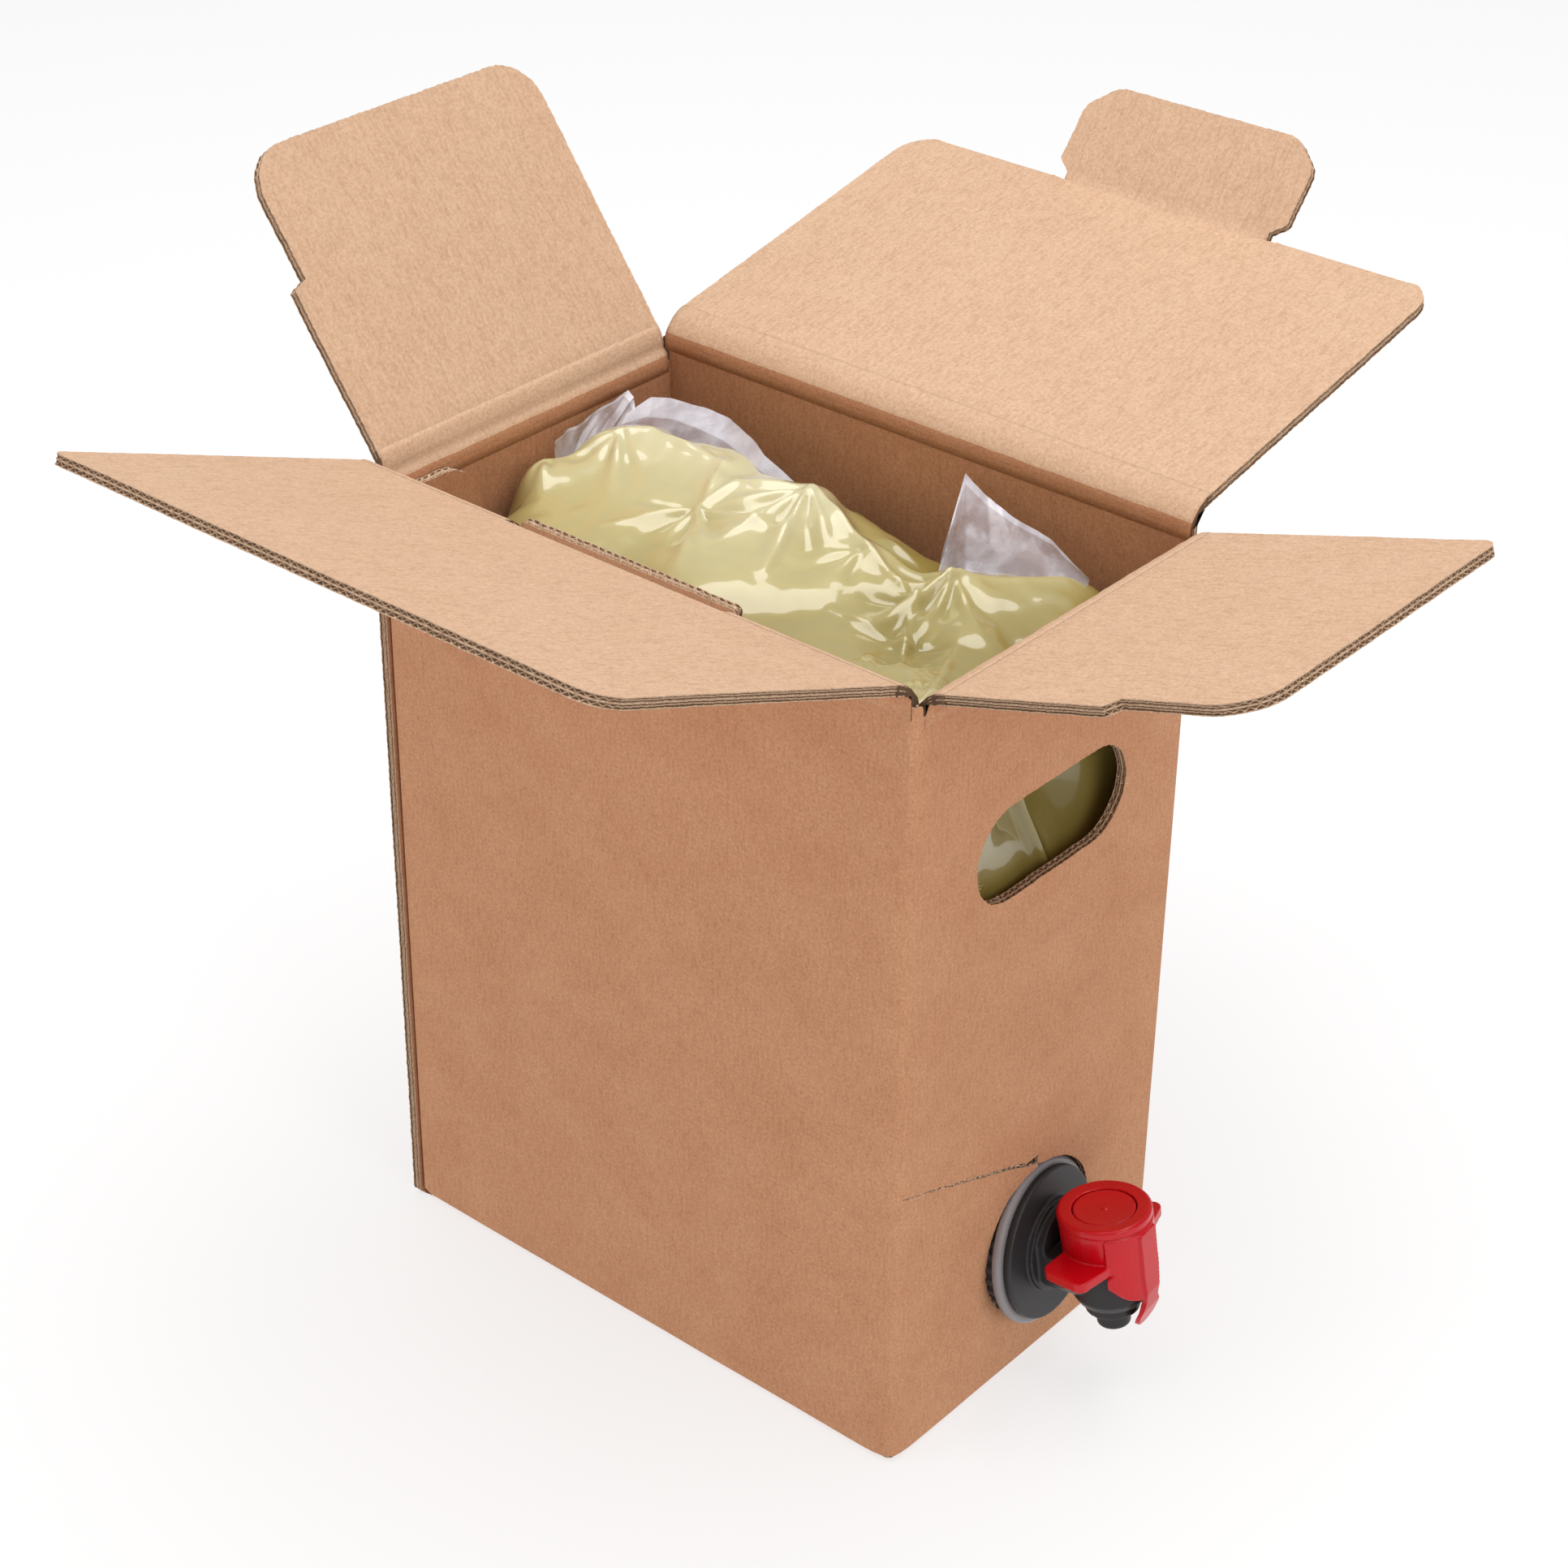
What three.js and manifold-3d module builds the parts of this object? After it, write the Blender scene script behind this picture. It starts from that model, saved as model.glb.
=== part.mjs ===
// Bag in box carton: an open kraft carton with four top flaps, a filled film bag inside and a
// press tap low on one short wall. Millimetres, +Z up, the carton's underside on z = 0.
// The tap wall faces +X and the wall that carries the cover faces +Y.

import * as THREE from 'three';
import Module from 'manifold-3d';

const wasm = await Module();
wasm.setup();
const { Manifold, Mesh } = wasm;

// Carton
const LENGTH = 190.5;
const WIDTH = 121.5;
const BOARD = 3;
const FLAP_STACK_GAP = 0.3;
const COVER_AXIS_Z = 253.3;
const BOTTOM_PLIES = 2;
const CORNER_R = 2.4;
const EDGE_R = 2.2;
const CRUSHED_LIP = 0.5;
const CREASE_GAP = 0.3;
const RAW_EDGE_PROUD = 0.6;
const CORNER_GROOVE = 0.6;
const CORNER_GROOVE_DEPTH = 1.2;
const SEAM = 0.8;
const SEAM_Y = 8;

// Top flaps: how far each reaches, and its slope above level as it stands in the photo
const LOCK_LEN = 115;
const LOCK_SLOPE = 21.2;
const LOCK_SIDE_CLEAR = 1.6;
const SIDE_LEN = 94.4;
const TAP_SIDE_SLOPE = 17.4;
const REAR_SIDE_SLOPE = 53.4;
const SIDE_FLAP_CLEAR = 0.6;
const SIDE_NOTCH_AT = 55;
const SIDE_NOTCH = 5;
const COVER_LEN = 120;
const COVER_SLOPE = 11.7;
const COVER_SIDE_CLEAR = 1;
const TUCK_BEND = 38;
const TUCK_LEN = 33;
const TUCK_HALF = 41;
const TUCK_NECK_HALF = 36.7;
const TUCK_NECK_LEN = 3.2;
const TUCK_R = 15;

// Lock strip: the upright tongue of the front wall that stands in the lock flap's slot
const STRIP_X0 = -38.3;
const STRIP_X1 = 36.7;
const STRIP_TOP_Z = 253.2;
const STRIP_SLOT_CLEAR = 0.8;
const STRIP_SLOT_DEPTH = 6.8;

// Glue flap inside the rear wall
const GLUE_FLAP_W = 32;
const GLUE_FLAP_TOP = 243;
const GLUE_FLAP_R = 14;

// Hand hole, tap hole, its keyhole notch and the torn slit of the door panel
const HAND_LEN = 66;
const HAND_H = 29.4;
const HAND_Y = 0.5;
const HAND_Z = 185;
const TAP_HOLE_R = 25.6;
const TAP_Y = 3.5;
const TAP_Z = 43.5;
const NOTCH_W = 5.2;
const NOTCH_TOP_Z = 73.6;
const SLIT_W = 0.6;
const SLIT_CORNER_Z = 94.8;

// Tap: it leans back and turns a little, as it does in the photo
const TAP_PITCH = 8.8;
const TAP_YAW = 5.2;
const FLANGE_FRONT_OUT = 6;
const FLANGE_R = 22.75;
const FLANGE_T = 2.2;
const HUB_R = 13.8;
const HUB_T = 1.7;
const BARREL_R = 12.4;
const BARREL_BORE_R = 9;
const DUCT_WALL = 1.6;
const SPIGOT_R = 12;
const SPIGOT_END = -13;
const VALVE_X = 18.7;
const BODY_R = 11;
const BODY_TOP = 12.5;
const BODY_BOTTOM = -13;
const CHAMBER_R = 8.6;
const SEAT_R = 4.2;
const SEAT_Z = -7.6;
const SEAT_T = 1.4;
const VALVE_WELL_R = 6.6;
const VALVE_WELL_Z = -14.6;
const NOZZLE_R = 4.9;
const NOZZLE_BORE_R = 3.5;
const NOZZLE_END = -21.4;

// Red grip: collar, finger wings, front apron and pull tongue, moulded as one
const GRIP_R = 13.3;
const GRIP_BORE_CLEAR = 0.3;
const GRIP_TOP = 14.6;
const GRIP_BOTTOM = 3.4;
const RIM_R = 13.6;
const RIM_TOP = 17.9;
const RIM_SEAM = 0.5;
const WING_T = 3;
const WING_Y = 23;
const WING_X0 = -10.5;
const WING_X1 = 8;
const APRON_T = 1.8;
const APRON_HALF_DEG = 61;
const APRON_BOTTOM = -7.5;
const TONGUE_HALF_W = 4.1;
const TONGUE_END = -18.2;
const TONGUE_TIP_R = 5.2;

// Button and valve
const BUTTON_R = 9;
const BUTTON_CLEAR = 0.3;
const BUTTON_T = 2.6;
const BUTTON_DISH = 0.5;
const STEM_R = 2.2;
const PLUG_R = 4.9;
const PLUG_T = 1.6;
const SEAL_R = 5.6;
const SEAL_T = 1.2;

// Gland on the bag, with the toothed ring behind its flange
const GLAND_R = 24.8;
const GLAND_X0 = -5.2;
const GLAND_FLANGE_GAP = 0.3;
const GLAND_NECK_R = 15.4;
const GLAND_BORE_CLEAR = 0.2;
const WELD_R = 20;
const WELD_T = 1.2;
const TOOTH_RING_R = 23.4;
const TOOTH_H = 0.9;
const TOOTH_COUNT = 36;
const TOOTH_X0 = -8.2;
const RING_GAP = 0.3;

// Filled bag
const BAG_CLEAR = 0.4;
const BAG_BASE_TOP = 226;
const BAG_EDGE_DROP = 20;
const BAG_EDGE_R = 20;
const BAG_LOBES = [
  [-62, 2, 28, 34, 14],
  [-8, 0, 24, 34, 14.5],
  [66, -8, 26, 30, 9],
  [38, 12, 12, 26, -5],
];
const POCKET_R = 26.4;
const FILM_T = 1.2;
// Film ears: how far in from the carton's end or long wall they stand, and the top's clearance
const EAR_TOP_CLEAR = 0.9;
const REAR_EAR_IN = 15.25;
const BACK_EAR_START = 19.25;
const BACK_EAR_LEN = 68;
const TAP_EAR_END = 25.25;
const TAP_EAR_LEN = 50;

const HALF_L = LENGTH / 2;
const HALF_W = WIDTH / 2;
const RISE = BOARD + FLAP_STACK_GAP;
const LOCK_AXIS_Z = COVER_AXIS_Z - RISE;
const SIDE_AXIS_Z = LOCK_AXIS_Z - RISE;
const EAR_TOP = SIDE_AXIS_Z - BOARD - EAR_TOP_CLEAR;
const ABOVE_ALL = COVER_AXIS_Z + 6.7;
const FLOOR_T = BOARD * BOTTOM_PLIES;
const RAD = Math.PI / 180;

const group = new THREE.Group();

function solid(geometry) {
  const plain = geometry.index ? geometry.toNonIndexed() : geometry;
  const p = plain.attributes.position;
  const mesh = new Mesh({
    numProp: 3,
    vertProperties: new Float32Array(p.array),
    triVerts: new Uint32Array(Array.from({ length: p.count }, (_, i) => i)),
  });
  mesh.merge();
  return new Manifold(mesh);
}

function surface(manifold) {
  const mesh = manifold.getMesh();
  const g = new THREE.BufferGeometry();
  g.setAttribute('position', new THREE.BufferAttribute(new Float32Array(mesh.vertProperties), 3));
  g.setIndex(Array.from(mesh.triVerts));
  const flat = g.toNonIndexed();
  flat.computeVertexNormals();
  return flat;
}

function join(...parts) {
  return parts.reduce((a, b) => a.add(b));
}

function cut(base, ...parts) {
  return parts.reduce((a, b) => a.subtract(b), base);
}

function slab(x0, x1, y0, y1, z0, z1) {
  const g = new THREE.BoxGeometry(x1 - x0, y1 - y0, z1 - z0);
  g.translate((x0 + x1) / 2, (y0 + y1) / 2, (z0 + z1) / 2);
  return solid(g);
}

function basis(u, v, w, origin = [0, 0, 0]) {
  const m = new THREE.Matrix4();
  m.makeBasis(new THREE.Vector3(...u), new THREE.Vector3(...v), new THREE.Vector3(...w));
  m.setPosition(...origin);
  return m;
}

// A polygon in the (u, v) plane, drawn out along w from w0 to w1 and then placed
function prism(points, w0, w1, matrix = null, holes = []) {
  const shape = new THREE.Shape(points.map((p) => new THREE.Vector2(p[0], p[1])));
  for (const hole of holes) {
    shape.holes.push(new THREE.Path(hole.map((p) => new THREE.Vector2(p[0], p[1]))));
  }
  const g = new THREE.ExtrudeGeometry(shape, { depth: w1 - w0, bevelEnabled: false });
  g.translate(0, 0, w0);
  if (matrix) g.applyMatrix4(matrix);
  return solid(g);
}

const ALONG_X = basis([0, 1, 0], [0, 0, 1], [1, 0, 0]);
const ALONG_Y = basis([0, 0, 1], [1, 0, 0], [0, 1, 0]);

function circle(cx, cy, r, count = 48) {
  return Array.from({ length: count }, (_, i) => {
    const a = (i / count) * 2 * Math.PI;
    return [cx + r * Math.cos(a), cy + r * Math.sin(a)];
  });
}

// Corners [x, y, radius] rounded with short arcs
function rounded(corners, steps = 7) {
  const out = [];
  const n = corners.length;
  for (let i = 0; i < n; i += 1) {
    const [x, y, r] = corners[i];
    if (!r) {
      out.push([x, y]);
      continue;
    }
    const a = corners[(i + n - 1) % n];
    const b = corners[(i + 1) % n];
    const da = new THREE.Vector2(a[0] - x, a[1] - y).normalize();
    const db = new THREE.Vector2(b[0] - x, b[1] - y).normalize();
    const half = Math.acos(Math.max(-1, Math.min(1, da.dot(db)))) / 2;
    const reach = r / Math.tan(half);
    const mid = da.clone().add(db).normalize().multiplyScalar(r / Math.sin(half));
    const c = new THREE.Vector2(x, y).add(mid);
    const s = new THREE.Vector2(x, y).add(da.multiplyScalar(reach)).sub(c);
    const e = new THREE.Vector2(x, y).add(db.multiplyScalar(reach)).sub(c);
    const a0 = Math.atan2(s.y, s.x);
    let sweep = Math.atan2(e.y, e.x) - a0;
    while (sweep > Math.PI) sweep -= 2 * Math.PI;
    while (sweep < -Math.PI) sweep += 2 * Math.PI;
    for (let k = 0; k <= steps; k += 1) {
      const t = a0 + (sweep * k) / steps;
      out.push([c.x + r * Math.cos(t), c.y + r * Math.sin(t)]);
    }
  }
  return out;
}

function roundedRect(x0, x1, y0, y1, r, steps = 5) {
  return rounded([[x0, y0, r], [x1, y0, r], [x1, y1, r], [x0, y1, r]], steps);
}

function add(name, manifold, color, roughness, metalness = 0, extra = {}) {
  const material = new THREE.MeshStandardMaterial({ color, roughness, metalness, ...extra });
  const mesh = new THREE.Mesh(surface(manifold), material);
  mesh.name = name;
  group.add(mesh);
  return mesh;
}

const KRAFT_OUTSIDE = 0xc08f6b;
const KRAFT_INSIDE = 0xe0bd96;
const TAP_RED = 0xd2031c;
const TAP_BLACK = 0x2c2a2a;

// Carton body: four walls, glued bottom and glue flap, all one folded blank

function wallTop(outer, inner, axisZ) {
  const dir = Math.sign(inner - outer);
  const shoulder = axisZ - BOARD - CREASE_GAP;
  return [
    [inner, shoulder],
    [outer + dir * (BOARD - 0.7), shoulder],
    [outer + dir * 0.2, axisZ - CRUSHED_LIP - CREASE_GAP],
    [outer, axisZ - CRUSHED_LIP - CREASE_GAP],
  ];
}

function longWall(outer, inner, axisZ, x0, x1) {
  const profile = [[outer, 0], [inner, 0], ...wallTop(outer, inner, axisZ)];
  return prism(profile, x0, x1, ALONG_X);
}

function shortWall(outer, inner, axisZ, y0, y1) {
  const profile = [[outer, 0], [inner, 0], ...wallTop(outer, inner, axisZ)];
  return prism(profile.map(([x, z]) => [z, x]), y0, y1, ALONG_Y);
}

function envelope() {
  const slices = [[0, EDGE_R], [0.65, 0.65], [EDGE_R, 0], [ABOVE_ALL, 0]];
  const sheets = slices.map(([z, inset]) => {
    const r = CORNER_R - inset * 0.5;
    const outline = roundedRect(-HALF_L + inset, HALF_L - inset, -HALF_W + inset, HALF_W - inset, r);
    return prism(outline, z, z + 0.01);
  });
  return Manifold.hull(sheets);
}

function cartonBody() {
  const front = longWall(-HALF_W, -HALF_W + BOARD, LOCK_AXIS_Z, -HALF_L, HALF_L);
  const back = longWall(HALF_W, HALF_W - BOARD, COVER_AXIS_Z, -HALF_L, HALF_L);
  const tap = shortWall(HALF_L, HALF_L - BOARD, SIDE_AXIS_Z, -HALF_W, HALF_W);
  const rear = shortWall(-HALF_L, -HALF_L + BOARD, SIDE_AXIS_Z, -HALF_W, HALF_W);
  const floor = slab(-HALF_L, HALF_L, -HALF_W, HALF_W, 0, FLOOR_T);
  let shell = join(front, back, tap, rear, floor).intersect(envelope());
  // the lock strip stands on up out of the front wall
  const strip = rounded([
    [STRIP_X0, LOCK_AXIS_Z - 8, 0],
    [STRIP_X1, LOCK_AXIS_Z - 8, 0],
    [STRIP_X1, STRIP_TOP_Z, 1.6],
    [STRIP_X0, STRIP_TOP_Z, 1.6],
  ], 3);
  shell = shell.add(prism(strip.map(([x, z]) => [z, x]), -HALF_W, -HALF_W + BOARD, ALONG_Y));
  // the rear wall ends in a raw cut edge that stands a little proud of the front wall
  const edge = slab(
    -HALF_L, -HALF_L + BOARD, -HALF_W - RAW_EDGE_PROUD, -HALF_W + 1.6, EDGE_R, SIDE_AXIS_Z - BOARD - CREASE_GAP,
  );
  shell = shell.add(edge);
  const grooveX = -HALF_L + BOARD;
  shell = shell.subtract(slab(
    grooveX, grooveX + CORNER_GROOVE, -HALF_W - 1, -HALF_W + CORNER_GROOVE_DEPTH, -1, ABOVE_ALL,
  ));
  // the glue flap: the front wall's last panel, glued inside the rear wall
  const g0 = -HALF_W + BOARD - 0.5;
  const g1 = -HALF_W + BOARD + GLUE_FLAP_W;
  const glue = rounded([
    [g0, FLOOR_T - 1, 0],
    [g1, FLOOR_T - 1, 0],
    [g1, GLUE_FLAP_TOP, GLUE_FLAP_R],
    [g0, GLUE_FLAP_TOP, 0],
  ]);
  shell = shell.add(prism(glue, -HALF_L + BOARD - 0.5, -HALF_L + 2 * BOARD, ALONG_X));
  // hand hole
  const hand = roundedRect(
    HAND_Y - HAND_LEN / 2, HAND_Y + HAND_LEN / 2, HAND_Z - HAND_H / 2, HAND_Z + HAND_H / 2, HAND_H / 2 - 0.01, 12,
  );
  // tap hole with the keyhole notch over it
  const hole = prism(circle(TAP_Y, TAP_Z, TAP_HOLE_R, 64), HALF_L - 8, HALF_L + 8, ALONG_X);
  const notch = slab(
    HALF_L - 8, HALF_L + 8, TAP_Y - 0.5 - NOTCH_W, TAP_Y - 0.5, TAP_Z + 20, NOTCH_TOP_Z,
  );
  // the torn slit above the door panel
  const slit = prism([
    [-HALF_W + 1.2, SLIT_CORNER_Z],
    [-HALF_W + 1.2, SLIT_CORNER_Z - SLIT_W],
    [TAP_Y - NOTCH_W, NOTCH_TOP_Z - SLIT_W - 0.4],
    [TAP_Y - NOTCH_W, NOTCH_TOP_Z - 0.4],
  ], HALF_L - 8, HALF_L + 8, ALONG_X);
  shell = cut(shell, prism(hand, HALF_L - 8, HALF_L + 8, ALONG_X), hole, notch, slit);
  // seams where the glued bottom flaps meet
  const under = slab(-HALF_L - 1, HALF_L + 1, SEAM_Y - SEAM / 2, SEAM_Y + SEAM / 2, -1, BOARD - 0.6);
  const inside = slab(-SEAM / 2, SEAM / 2, -HALF_W + BOARD, HALF_W - BOARD, FLOOR_T - BOARD + 0.6, FLOOR_T + 1);
  return cut(shell, under, inside);
}

add('carton_body', cartonBody(), KRAFT_OUTSIDE, 0.9);

// A flap lies in (u, s, n): u along its crease, s outward from it, n from the outer liner to the
// inner one. It pivots on its outer liner and its root is crushed to a thin lip.

function flapFrame(outward, axis, slope) {
  const c = Math.cos(slope * RAD);
  const s = Math.sin(slope * RAD);
  const es = [outward[0] * c, outward[1] * c, s];
  const en = [-outward[0] * s, -outward[1] * s, c];
  const eu = new THREE.Vector3(...es).cross(new THREE.Vector3(...en));
  return basis([eu.x, eu.y, eu.z], es, en, axis);
}

function flapBlank(outline, root0, root1) {
  const board = prism(outline, 0, BOARD);
  const wedge = prism([
    [-1, CRUSHED_LIP],
    [0.1, CRUSHED_LIP],
    [BOARD - 0.6, BOARD],
    [BOARD - 0.6, BOARD + 1],
    [-1, BOARD + 1],
  ], root0, root1, basis([0, 1, 0], [0, 0, 1], [1, 0, 0]));
  return board.subtract(wedge);
}

function place(manifold, matrix) {
  const g = surface(manifold);
  g.applyMatrix4(matrix);
  return solid(g);
}

const ROOT = 0.1;

// Lock flap, on the front wall: u runs along -X
const lockFrame = flapFrame([0, -1], [0, -HALF_W, LOCK_AXIS_Z], LOCK_SLOPE);
const lockOutline = rounded([
  [-HALF_L + LOCK_SIDE_CLEAR, ROOT, 0],
  [-STRIP_X1 - STRIP_SLOT_CLEAR, ROOT, 0],
  [-STRIP_X1 - STRIP_SLOT_CLEAR, STRIP_SLOT_DEPTH, 0.8],
  [-STRIP_X0 + STRIP_SLOT_CLEAR, STRIP_SLOT_DEPTH, 0.8],
  [-STRIP_X0 + STRIP_SLOT_CLEAR, ROOT, 0],
  [HALF_L - LOCK_SIDE_CLEAR, ROOT, 0],
  [HALF_L - LOCK_SIDE_CLEAR, LOCK_LEN, 3],
  [-HALF_L + LOCK_SIDE_CLEAR + 2.6, LOCK_LEN, 9],
]);
const lockFlap = flapBlank(lockOutline, -HALF_L - 1, HALF_L + 1);
add('lock_flap', place(lockFlap, lockFrame), KRAFT_INSIDE, 0.88);

// Cover with its tuck tab, one folded panel on the back wall: u runs along +X
function coverPanel() {
  const panel = rounded([
    [-HALF_L + COVER_SIDE_CLEAR, ROOT, 0],
    [HALF_L - COVER_SIDE_CLEAR, ROOT, 0],
    [HALF_L - COVER_SIDE_CLEAR, COVER_LEN, 11],
    [TUCK_NECK_HALF + 4, COVER_LEN, 0],
    [TUCK_NECK_HALF + 4, COVER_LEN - 1.5, 0],
    [TUCK_NECK_HALF, COVER_LEN - 1.5, 0],
    [TUCK_NECK_HALF, COVER_LEN + 1.2, 0],
    [-TUCK_NECK_HALF, COVER_LEN + 1.2, 0],
    [-TUCK_NECK_HALF, COVER_LEN - 1.5, 0],
    [-TUCK_NECK_HALF - 4, COVER_LEN - 1.5, 0],
    [-TUCK_NECK_HALF - 4, COVER_LEN, 0],
    [-HALF_L + COVER_SIDE_CLEAR, COVER_LEN, 13],
  ]);
  const blank = flapBlank(panel, -HALF_L - 1, HALF_L + 1);
  const tab = rounded([
    [-TUCK_NECK_HALF, -1.2, 0],
    [TUCK_NECK_HALF, -1.2, 0],
    [TUCK_NECK_HALF, TUCK_NECK_LEN, 0],
    [TUCK_HALF, TUCK_NECK_LEN + 3.4, 2.2],
    [TUCK_HALF, TUCK_LEN - 8, 6],
    [TUCK_HALF - 9, TUCK_LEN, 8],
    [-TUCK_HALF + 9, TUCK_LEN, 8],
    [-TUCK_HALF, TUCK_LEN - 8, 6],
    [-TUCK_HALF, TUCK_NECK_LEN + 3.4, 2.2],
    [-TUCK_NECK_HALF, TUCK_NECK_LEN, 0],
  ]);
  const bend = basis(
    [1, 0, 0],
    [0, Math.cos(TUCK_BEND * RAD), Math.sin(TUCK_BEND * RAD)],
    [0, -Math.sin(TUCK_BEND * RAD), Math.cos(TUCK_BEND * RAD)],
    [0, COVER_LEN, 0],
  );
  return blank.add(prism(tab, 0, BOARD, bend));
}
const coverFrame = flapFrame([0, 1], [0, HALF_W, COVER_AXIS_Z], COVER_SLOPE);
add('cover_flap', place(coverPanel(), coverFrame), KRAFT_INSIDE, 0.88);

// Side flaps. sign is +1 where u runs along +Y and -1 where it runs along -Y
function sidePanel(sign) {
  const inner = HALF_W - BOARD - SIDE_FLAP_CLEAR;
  const outline = [
    [-inner, ROOT, 0],
    [inner, ROOT, 0],
    [inner, SIDE_LEN, sign > 0 ? 14 : 5],
    [-inner + SIDE_NOTCH, SIDE_LEN, 14],
    [-inner + SIDE_NOTCH, SIDE_NOTCH_AT + 2, 0],
    [-inner, SIDE_NOTCH_AT, 0],
  ];
  const placed = sign > 0 ? outline : outline.map(([u, s, r]) => [-u, s, r]).reverse();
  return flapBlank(rounded(placed), -inner - 1, inner + 1);
}
const rearFrame = flapFrame([-1, 0], [-HALF_L, 0, SIDE_AXIS_Z], REAR_SIDE_SLOPE);
add('rear_side_flap', place(sidePanel(1), rearFrame), KRAFT_INSIDE, 0.88);
const tapFlapFrame = flapFrame([1, 0], [HALF_L, 0, SIDE_AXIS_Z], TAP_SIDE_SLOPE);
add('tap_side_flap', place(sidePanel(-1), tapFlapFrame), KRAFT_INSIDE, 0.88);

// Tap pieces are drawn with +X out of the wall and their origin on the flange's front face
const pitch = TAP_PITCH * RAD;
const yaw = TAP_YAW * RAD;
const tapX = [Math.cos(yaw) * Math.cos(pitch), Math.sin(yaw) * Math.cos(pitch), Math.sin(pitch)];
const tapY = [-Math.sin(yaw), Math.cos(yaw), 0];
const tapZ = [-Math.cos(yaw) * Math.sin(pitch), -Math.sin(yaw) * Math.sin(pitch), Math.cos(pitch)];
const tapOrigin = [
  HALF_L + FLANGE_FRONT_OUT * tapX[0],
  TAP_Y + FLANGE_FRONT_OUT * tapX[1],
  TAP_Z + FLANGE_FRONT_OUT * tapX[2],
];
const TAP = basis(tapX, tapY, tapZ, tapOrigin);

function discX(r, x0, x1, count = 64) {
  return prism(circle(0, 0, r, count), x0, x1, ALONG_X);
}

function columnZ(r, z0, z1, count = 48) {
  return prism(circle(VALVE_X, 0, r, count), z0, z1);
}

// A turned shape about the valve's upright axis, from [radius, height] points
function turned(points, count = 48) {
  const g = new THREE.LatheGeometry(points.map((p) => new THREE.Vector2(p[0], p[1])), count);
  g.applyMatrix4(basis([1, 0, 0], [0, 0, 1], [0, -1, 0], [VALVE_X, 0, 0]));
  return solid(g);
}

function tapBody() {
  const flange = turnedX([
    [0, -FLANGE_T], [FLANGE_R - 0.3, -FLANGE_T], [FLANGE_R, -FLANGE_T + 0.3],
    [FLANGE_R, -0.5], [FLANGE_R - 0.5, 0], [0, 0],
  ]);
  const body = turned([
    [0, BODY_BOTTOM], [BODY_R - 3.4, BODY_BOTTOM], [BODY_R - 1.2, BODY_BOTTOM + 1],
    [BODY_R, BODY_BOTTOM + 3.2], [BODY_R, BODY_TOP], [0, BODY_TOP],
  ]);
  const nozzle = turned([
    [0, NOZZLE_END], [NOZZLE_R - 0.5, NOZZLE_END], [NOZZLE_R, NOZZLE_END + 0.6],
    [NOZZLE_R, VALVE_WELL_Z - 1.4], [VALVE_WELL_R + 1.3, VALVE_WELL_Z - 1.2], [BODY_R - 3, BODY_BOTTOM + 0.6],
    [0, BODY_BOTTOM + 0.6],
  ]);
  // the barrel's top steps down so that it passes under the grip
  const stepX = VALVE_X - RIM_R - 0.8;
  const underGrip = GRIP_BOTTOM - 0.4;
  const barrel = discX(BARREL_R, 0, VALVE_X, 48).intersect(join(
    slab(0, stepX, -BODY_R + 0.2, BODY_R - 0.2, -14, 12.6),
    slab(0, VALVE_X, -BODY_R + 0.2, BODY_R - 0.2, -14, underGrip),
  ));
  const bore = discX(BARREL_BORE_R, SPIGOT_END - 1, VALVE_X - 4, 32).intersect(join(
    slab(-20, stepX - DUCT_WALL, -10, 10, SEAT_Z, 10),
    slab(-20, VALVE_X, -10, 10, SEAT_Z, underGrip - DUCT_WALL),
  ));
  let shell = join(
    flange,
    discX(SPIGOT_R, SPIGOT_END, 0),
    discX(HUB_R, -0.5, HUB_T, 48),
    barrel,
    body,
    nozzle,
  );
  shell = cut(
    shell,
    bore,
    columnZ(CHAMBER_R, SEAT_Z, BODY_TOP + 1, 40),
    columnZ(SEAT_R, SEAT_Z - SEAT_T - 0.5, SEAT_Z + 0.5, 32),
    columnZ(VALVE_WELL_R, VALVE_WELL_Z, SEAT_Z - SEAT_T, 36),
    columnZ(NOZZLE_BORE_R, NOZZLE_END - 1, VALVE_WELL_Z + 0.5, 32),
  );
  return shell;
}

// A turned shape about the tap's axis, from [radius, x] points
function turnedX(points, count = 64) {
  const g = new THREE.LatheGeometry(points.map((p) => new THREE.Vector2(p[0], p[1])), count);
  g.applyMatrix4(basis([0, 1, 0], [1, 0, 0], [0, 0, -1]));
  return solid(g);
}

add('tap_body', place(tapBody(), TAP), TAP_BLACK, 0.5);

function apronShell() {
  const outer = GRIP_R + 0.4;
  const inner = outer - APRON_T;
  const points = [];
  const steps = 16;
  for (let i = 0; i <= steps; i += 1) {
    const a = (-APRON_HALF_DEG + (2 * APRON_HALF_DEG * i) / steps) * RAD;
    points.push([VALVE_X + outer * Math.cos(a), outer * Math.sin(a)]);
  }
  for (let i = steps; i >= 0; i -= 1) {
    const a = (-APRON_HALF_DEG + (2 * APRON_HALF_DEG * i) / steps) * RAD;
    points.push([VALVE_X + inner * Math.cos(a), inner * Math.sin(a)]);
  }
  const shell = prism(points, APRON_BOTTOM, GRIP_TOP);
  // seen from the front the apron is a rounded shield
  const shield = rounded([
    [-12.4, GRIP_TOP + 1, 0],
    [-12.4, GRIP_BOTTOM + 1.4, 0],
    [-10.4, GRIP_BOTTOM + 0.2, 0],
    [-12.6, 0.5, 3],
    [-8.4, -5.8, 4],
    [0, APRON_BOTTOM - 2.4, 6],
    [8.4, -5.8, 4],
    [12.6, 0.5, 3],
    [10.4, GRIP_BOTTOM + 0.2, 0],
    [12.4, GRIP_BOTTOM + 1.4, 0],
    [12.4, GRIP_TOP + 1, 0],
  ]);
  return shell.intersect(prism(shield, 0, 60, ALONG_X));
}

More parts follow.
